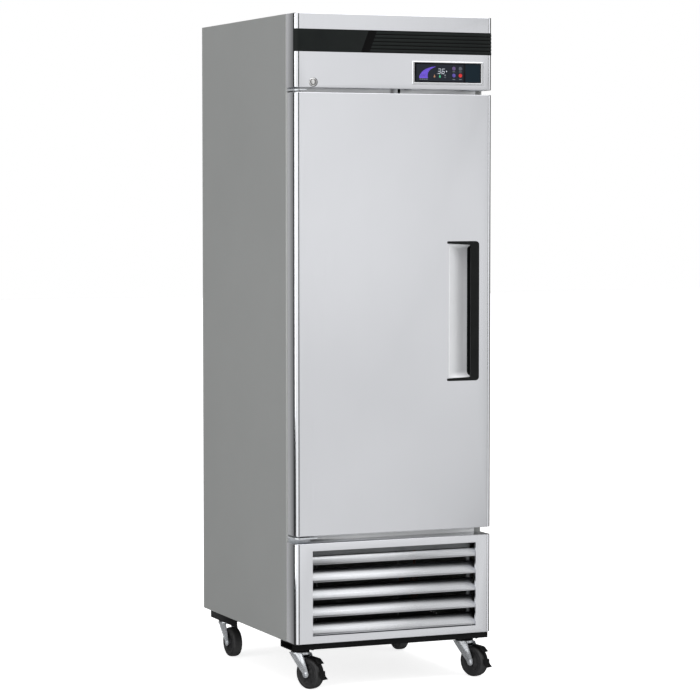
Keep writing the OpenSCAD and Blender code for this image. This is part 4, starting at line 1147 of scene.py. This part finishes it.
def machine():
    x0, x1, d0, d1, h0, h1 = span("compressor")
    foot_w, foot_d, r = 95, 70, 82.0
    cx, cd = x1 - foot_w, middle(d0, d1)
    dome = [(0, 20), (r - 26, 20), (r - 10, 26), (r - 2, 36), (r, 48), (r, 96), (r + 2, 98),
            (r + 2, 104), (r, 106), (r, 160), (r - 3, 176), (r - 12, 189), (r - 32, 196.5),
            (0, 198)]
    parts = [lathe("shell", dome, (cx, cd), "h", 72)]
    foot = rounded(rect(cx - foot_w, cx + foot_w, cd - foot_d, cd + foot_d), 16)
    parts.append(soften(prism("foot", foot, 16, 20, "h"), 1.0))
    for sx in (-80, 80):
        for sd in (-55, 55):
            bush = [(0, 0), (9, 0), (10, 2), (8, 5), (10, 8), (8, 11), (10, 14), (9, 16.5),
                    (0, 16.5)]
            parts.append(lathe("bush", bush, (cx + sx, cd + sd), "h", 24))
            parts.append(hexagon("bolt", cx + sx, cd + sd, 6, 19.5, 25, 0.8))
    parts.append(soften(block("terminals", x0, x0 + 42, cd - 30, cd + 30, 70, 140), 4, 3))
    for angle in (0.5, 2.2):
        stub = [(*polar(cx, cd, reach, angle), 60) for reach in (60, 92)]
        parts.append(tube("stub", stub, 5.5, 14))
    piece(join("compressor_shell", parts), "cabinet", "compressor_black", "compressor", sharp=45)

    box = span("condenser_fan")
    fx, fh = middle(*box[:2]), middle(*box[4:])
    motor = [(0, 176), (4, 176), (4, 210), (9, 210), (9, 212), (29, 212), (33, 215), (34, 220),
             (32.6, 222), (34, 224), (34, 256), (32.6, 258), (34, 260), (33, 265), (28, 268),
             (0, 268)]
    deck = rounded(rect(*span("condenser_motor")[:4]), 3)
    parts = [lathe("motor", motor, (fx, fh)),
             soften(block("post", fx - 3, fx + 3, 222, 258, 3, fh - 20), 1.2),
             soften(prism("deck", deck, 0.02, 4, "h"), 0.8)]
    piece(join("fan_motor", parts), "cabinet", "spring_steel", "condenser_motor", sharp=45)
    fan("condenser_blades", "condenser_fan", "condenser_fan", 22, 95, 5, "aluminium_fins")

    x0, x1, d0, d1, h0, h1 = span("drain_pan")
    pan = soften(prism("condensate_pan", rounded(rect(x0, x1, d0, d1), 12), h0 + 0.02, h1, "h"),
                 2.0, 3)
    well = prism("well", rounded(rect(x0 + 3, x1 - 3, d0 + 3, d1 - 3), 9), h0 + 3, h1 + 5, "h")
    piece(carve(pan, soften(well, 4.0, 3)), "cabinet", "grey_plastic", "drain_pan")

    port, bend_r, top = 150.0, 25.0, span("cabinet_foam")[4]
    turn_x = cx + r + 24 + bend_r
    path = rounded([(cx + r - 2, cd, port), (turn_x, cd, port), (turn_x, cd, top)], bend_r, 10,
                   False)
    parts = [tube("suction", path, 5.0, 16)]
    dx, dd = 250.0, 400.0
    drier = [(0, 32), (4, 32), (4, 56), (6, 60), (13, 68), (14, 74), (14, 156), (13, 162),
             (6, 170), (4, 174), (4, top), (0, top)]
    parts.append(lathe("drier", drier, (dx, dd), "h", 32))
    turns, steps, rise = 5, 24, 0.14
    coil = [(dx - 3, dd, 44), (dx - 6, dd + 24, 60)]
    coil += [(*polar(dx - 40, dd + 60, 26, TAU * k / steps), 110 + k * rise)
             for k in range(turns * steps + 1)]
    parts.append(tube("capillary", coil, 1.3, 8))
    piece(join("refrigerant_pipes", parts), "cabinet", "copper", "refrigerant_lines", sharp=50)


def rear():
    x0, x1, d0, d1, h0, h1 = span("rear_grille")
    lead = span("power_gland")
    gx, gh = middle(*lead[:2]), middle(*lead[4:])
    slots, hoods = [], []
    first, pitch, count, half, slot_h = 50, 30, 8, 80, 8
    for column in (-205, 0, 205):
        for low in range(first, first + count * pitch, pitch):
            slots.append(block("slot", column - half, column + half, d0 - 4, d1 + 4, low,
                               low + slot_h))
            rings = []
            for i in range(13):
                u = i / 6 - 1
                swell = math.sqrt(max(0.0, 1 - u ** 4)) * 0.98 + 0.02
                out, tall = 5.0 * swell, 9.0 * swell
                outer = [(d1 - 0.3, low + 8 + tall * 0.35), (d1 + out * 0.5, low + 8),
                         (d1 + out * 0.92, low + 4), (d1 + out, low)]
                inner = [(d1 + out - 0.9 * swell, low), (d1 + out * 0.92 - 0.9 * swell, low + 4),
                         (d1 + out * 0.5 - 0.7 * swell, low + 7.4), (d1 - 0.4, low + 8.1)]
                rings.append([(column + 82 * u, d, h) for d, h in outer + inner])
            hoods.append(loft("hood", rings))
    sheet = carve(block("rear_cover", x0, x1, d0, d1, h0, h1),
                  prism("hole", disc(gx, gh, 12.0), d0 - 4, d1 + 4), *slots)
    piece(join("rear_louvres", [sheet] + hoods), "cabinet", "back_sheet", "rear_grille",
          sharp=40)
    places = [(x, h) for x in (-325, 0, 325) for h in (12, h1 - 12)]
    top = span("back_panel")[5]
    places += [(x, h) for x in (-325, 325) for h in (h1 + 40, middle(h1, top), top - 20)]
    places += [(0, h1 + 14), (0, top - 14)]
    for i, place in enumerate(places):
        screw(f"rear_screw_{i}", place, "d", d1, 1, 4.0)

    body = [(5, lead[2]), (11.8, lead[2]), (11.8, d1), (16, d1 + 0.02), (16, d1 + 1.2), (13, d1 + 1.4)]
    for k in range(3):
        base = d1 + 4.4 + k * 3.2
        body += [(13 - k * 0.8, base), (13 - k * 0.8, base + 1.8), (11 - k * 0.8, base + 2.2)]
    body += [(8.5, lead[3]), (5.2, lead[3]), (5, lead[3] - 1)]
    gland = lathe("lead_gland", body, (gx, gh), cyclic=True, steps=40)
    nut = carve(hexagon("nut", gx, gh, 16.5, d1 + 1, d1 + 5, 0.8, "d"),
                prism("bore", disc(gx, gh, 12), d1 - 5, d1 + 9))
    piece(join("lead_gland", [gland, nut]), "cabinet", "trim_black", "power_gland", sharp=40)


# ---------- studio ----------

def camera():
    data = bpy.data.cameras.new("camera")
    data.lens, data.sensor_width = 138.0, 36.0
    obj = put("camera", data)
    obj.location = (-3.4755, -8.2265, 1.5777)
    obj.rotation_euler = (math.radians(86.665), 0, math.radians(-23.023))
    bpy.context.scene.camera = obj


def softbox(name, place, aim, size, radiance):
    """An area light of the given radiance, at place, facing aim."""
    data = bpy.data.lights.new(name, "AREA")
    data.shape = "RECTANGLE"
    data.size, data.size_y = size
    data.energy = radiance * math.pi * size[0] * size[1]
    obj = put(name, data)
    obj.location = place
    obj.rotation_mode = "QUATERNION"
    obj.rotation_quaternion = (Vector(aim) - Vector(place)).to_track_quat("-Z", "Y")


def sky():
    """White where it is seen; elsewhere a room of light and dark strips for the steel."""
    world = bpy.data.worlds.new("studio")
    bpy.context.scene.world = world
    world.use_nodes = True
    tree = world.node_tree
    tree.nodes.clear()

    # level of the room by direction, in degrees from straight ahead of the door to its left
    levels = [(-180, 0.60), (-168, 0.55), (-150, 0.10), (-84, 0.02), (-76, 1.2), (-46, 1.2),
              (-41, 0.15), (-36, 0.15), (-31, 0.86), (-19, 1.0), (-10, 0.80), (-4, 0.02),
              (12, 0.02), (19, 1.3), (66, 1.3), (78, 0.04), (148, 0.06), (158, 0.28),
              (170, 0.55), (180, 0.60)]
    peak = 1.4
    place = add_node(tree, "ShaderNodeTexCoord").outputs["Generated"]
    turned = add_node(tree, "ShaderNodeVectorMath", {0: place, 1: (-1, -1, 1)},
                      operation="MULTIPLY")
    way = add_node(tree, "ShaderNodeSeparateXYZ", {"Vector": turned.outputs[0]}).outputs
    angle = add_node(tree, "ShaderNodeMath", {0: way["X"], 1: way["Y"]}, operation="ARCTAN2")
    share = add_node(tree, "ShaderNodeMapRange", {
        "Value": angle.outputs[0], "From Min": -math.pi, "From Max": math.pi})
    curve = add_node(tree, "ShaderNodeFloatCurve", {"Value": share.outputs["Result"]})
    line = curve.mapping.curves[0]
    for i, (degrees, level) in enumerate(levels):
        at = ((degrees + 180) / 360, level / peak)
        if i in (0, len(levels) - 1):
            line.points[0 if i == 0 else -1].location = at
        else:
            line.points.new(*at)
    for point in line.points:
        point.handle_type = "VECTOR"
    curve.mapping.update()
    height = add_node(tree, "ShaderNodeMapRange", {
        "Value": way["Z"], "From Min": -0.15, "From Max": 0.05, "To Min": 0.88 * peak,
        "To Max": peak})
    level = add_node(tree, "ShaderNodeMath", {
        0: curve.outputs["Value"], 1: height.outputs["Result"]}, operation="MULTIPLY")
    light, seen = (add_node(tree, "ShaderNodeBackground", {
        "Color": (1, 1, 1, 1), "Strength": strength}).outputs[0]
        for strength in (level.outputs[0], 1.0))
    ray = add_node(tree, "ShaderNodeLightPath").outputs["Is Camera Ray"]
    mix = add_node(tree, "ShaderNodeMixShader", {0: ray, 1: light, 2: seen})
    add_node(tree, "ShaderNodeOutputWorld", {0: mix.outputs[0]})


def floor():
    size = 30.0
    mesh = bpy.data.meshes.new("floor")
    mesh.from_pydata([(-size, -size, 0), (size, -size, 0), (size, size, 0), (-size, size, 0)],
                     [], [(0, 1, 2, 3)])
    obj = put("floor", mesh)
    shader = Shader("floor", {"Roughness": 0.6, "Emission Color": (1, 1, 1, 1)})
    rays = shader.add("ShaderNodeLightPath").outputs
    shader.feed("Emission Strength", shader.remap(rays["Is Camera Ray"], 0.05, 0.8, 0.0, 1.0))
    cloud = shader.noise(1.5)
    shader.feed("Base Color", shader.mix(shader.remap(cloud, 0, 1), (0.84, 0.84, 0.84, 1),
                                         (0.86, 0.86, 0.86, 1)))
    # left out of mirror reflections, so the steel shows the room below the horizon instead
    mirrored = rays["Is Glossy Ray"]
    clear = shader.add("ShaderNodeBsdfTransparent").outputs[0]
    both = shader.add("ShaderNodeMixShader", {0: mirrored, 1: shader.surface.outputs[0],
                                              2: clear})
    shader.tree.links.new(both.outputs[0],
                          shader.tree.nodes["Material Output"].inputs["Surface"])
    dress(obj, shader.material)


def studio():
    sky()
    floor()
    softbox("top", (0, -1.0, 5.0), (0, 0, 0), (5.0, 5.0), 1.9)
    softbox("left_front", (-4.4, -0.6, 1.7), (-0.3, 0.1, 1.1), (2.0, 3.4), 2.2)
    bpy.context.scene.view_settings.view_transform = "Standard"


camera()
for entry in frame["record"]["subparts"]:
    dress(frame["nodes"][entry["node"]], MATERIALS[entry["material_slot"]])
door_panels()
handle()
header()
trim_band()
display()
lock()
hinge("upper_hinge", "hinge_top", True)
hinge("lower_hinge", "hinge_bottom", False)
grille()
rails()
casters()
food_compartment()
machine()
rear()
studio()
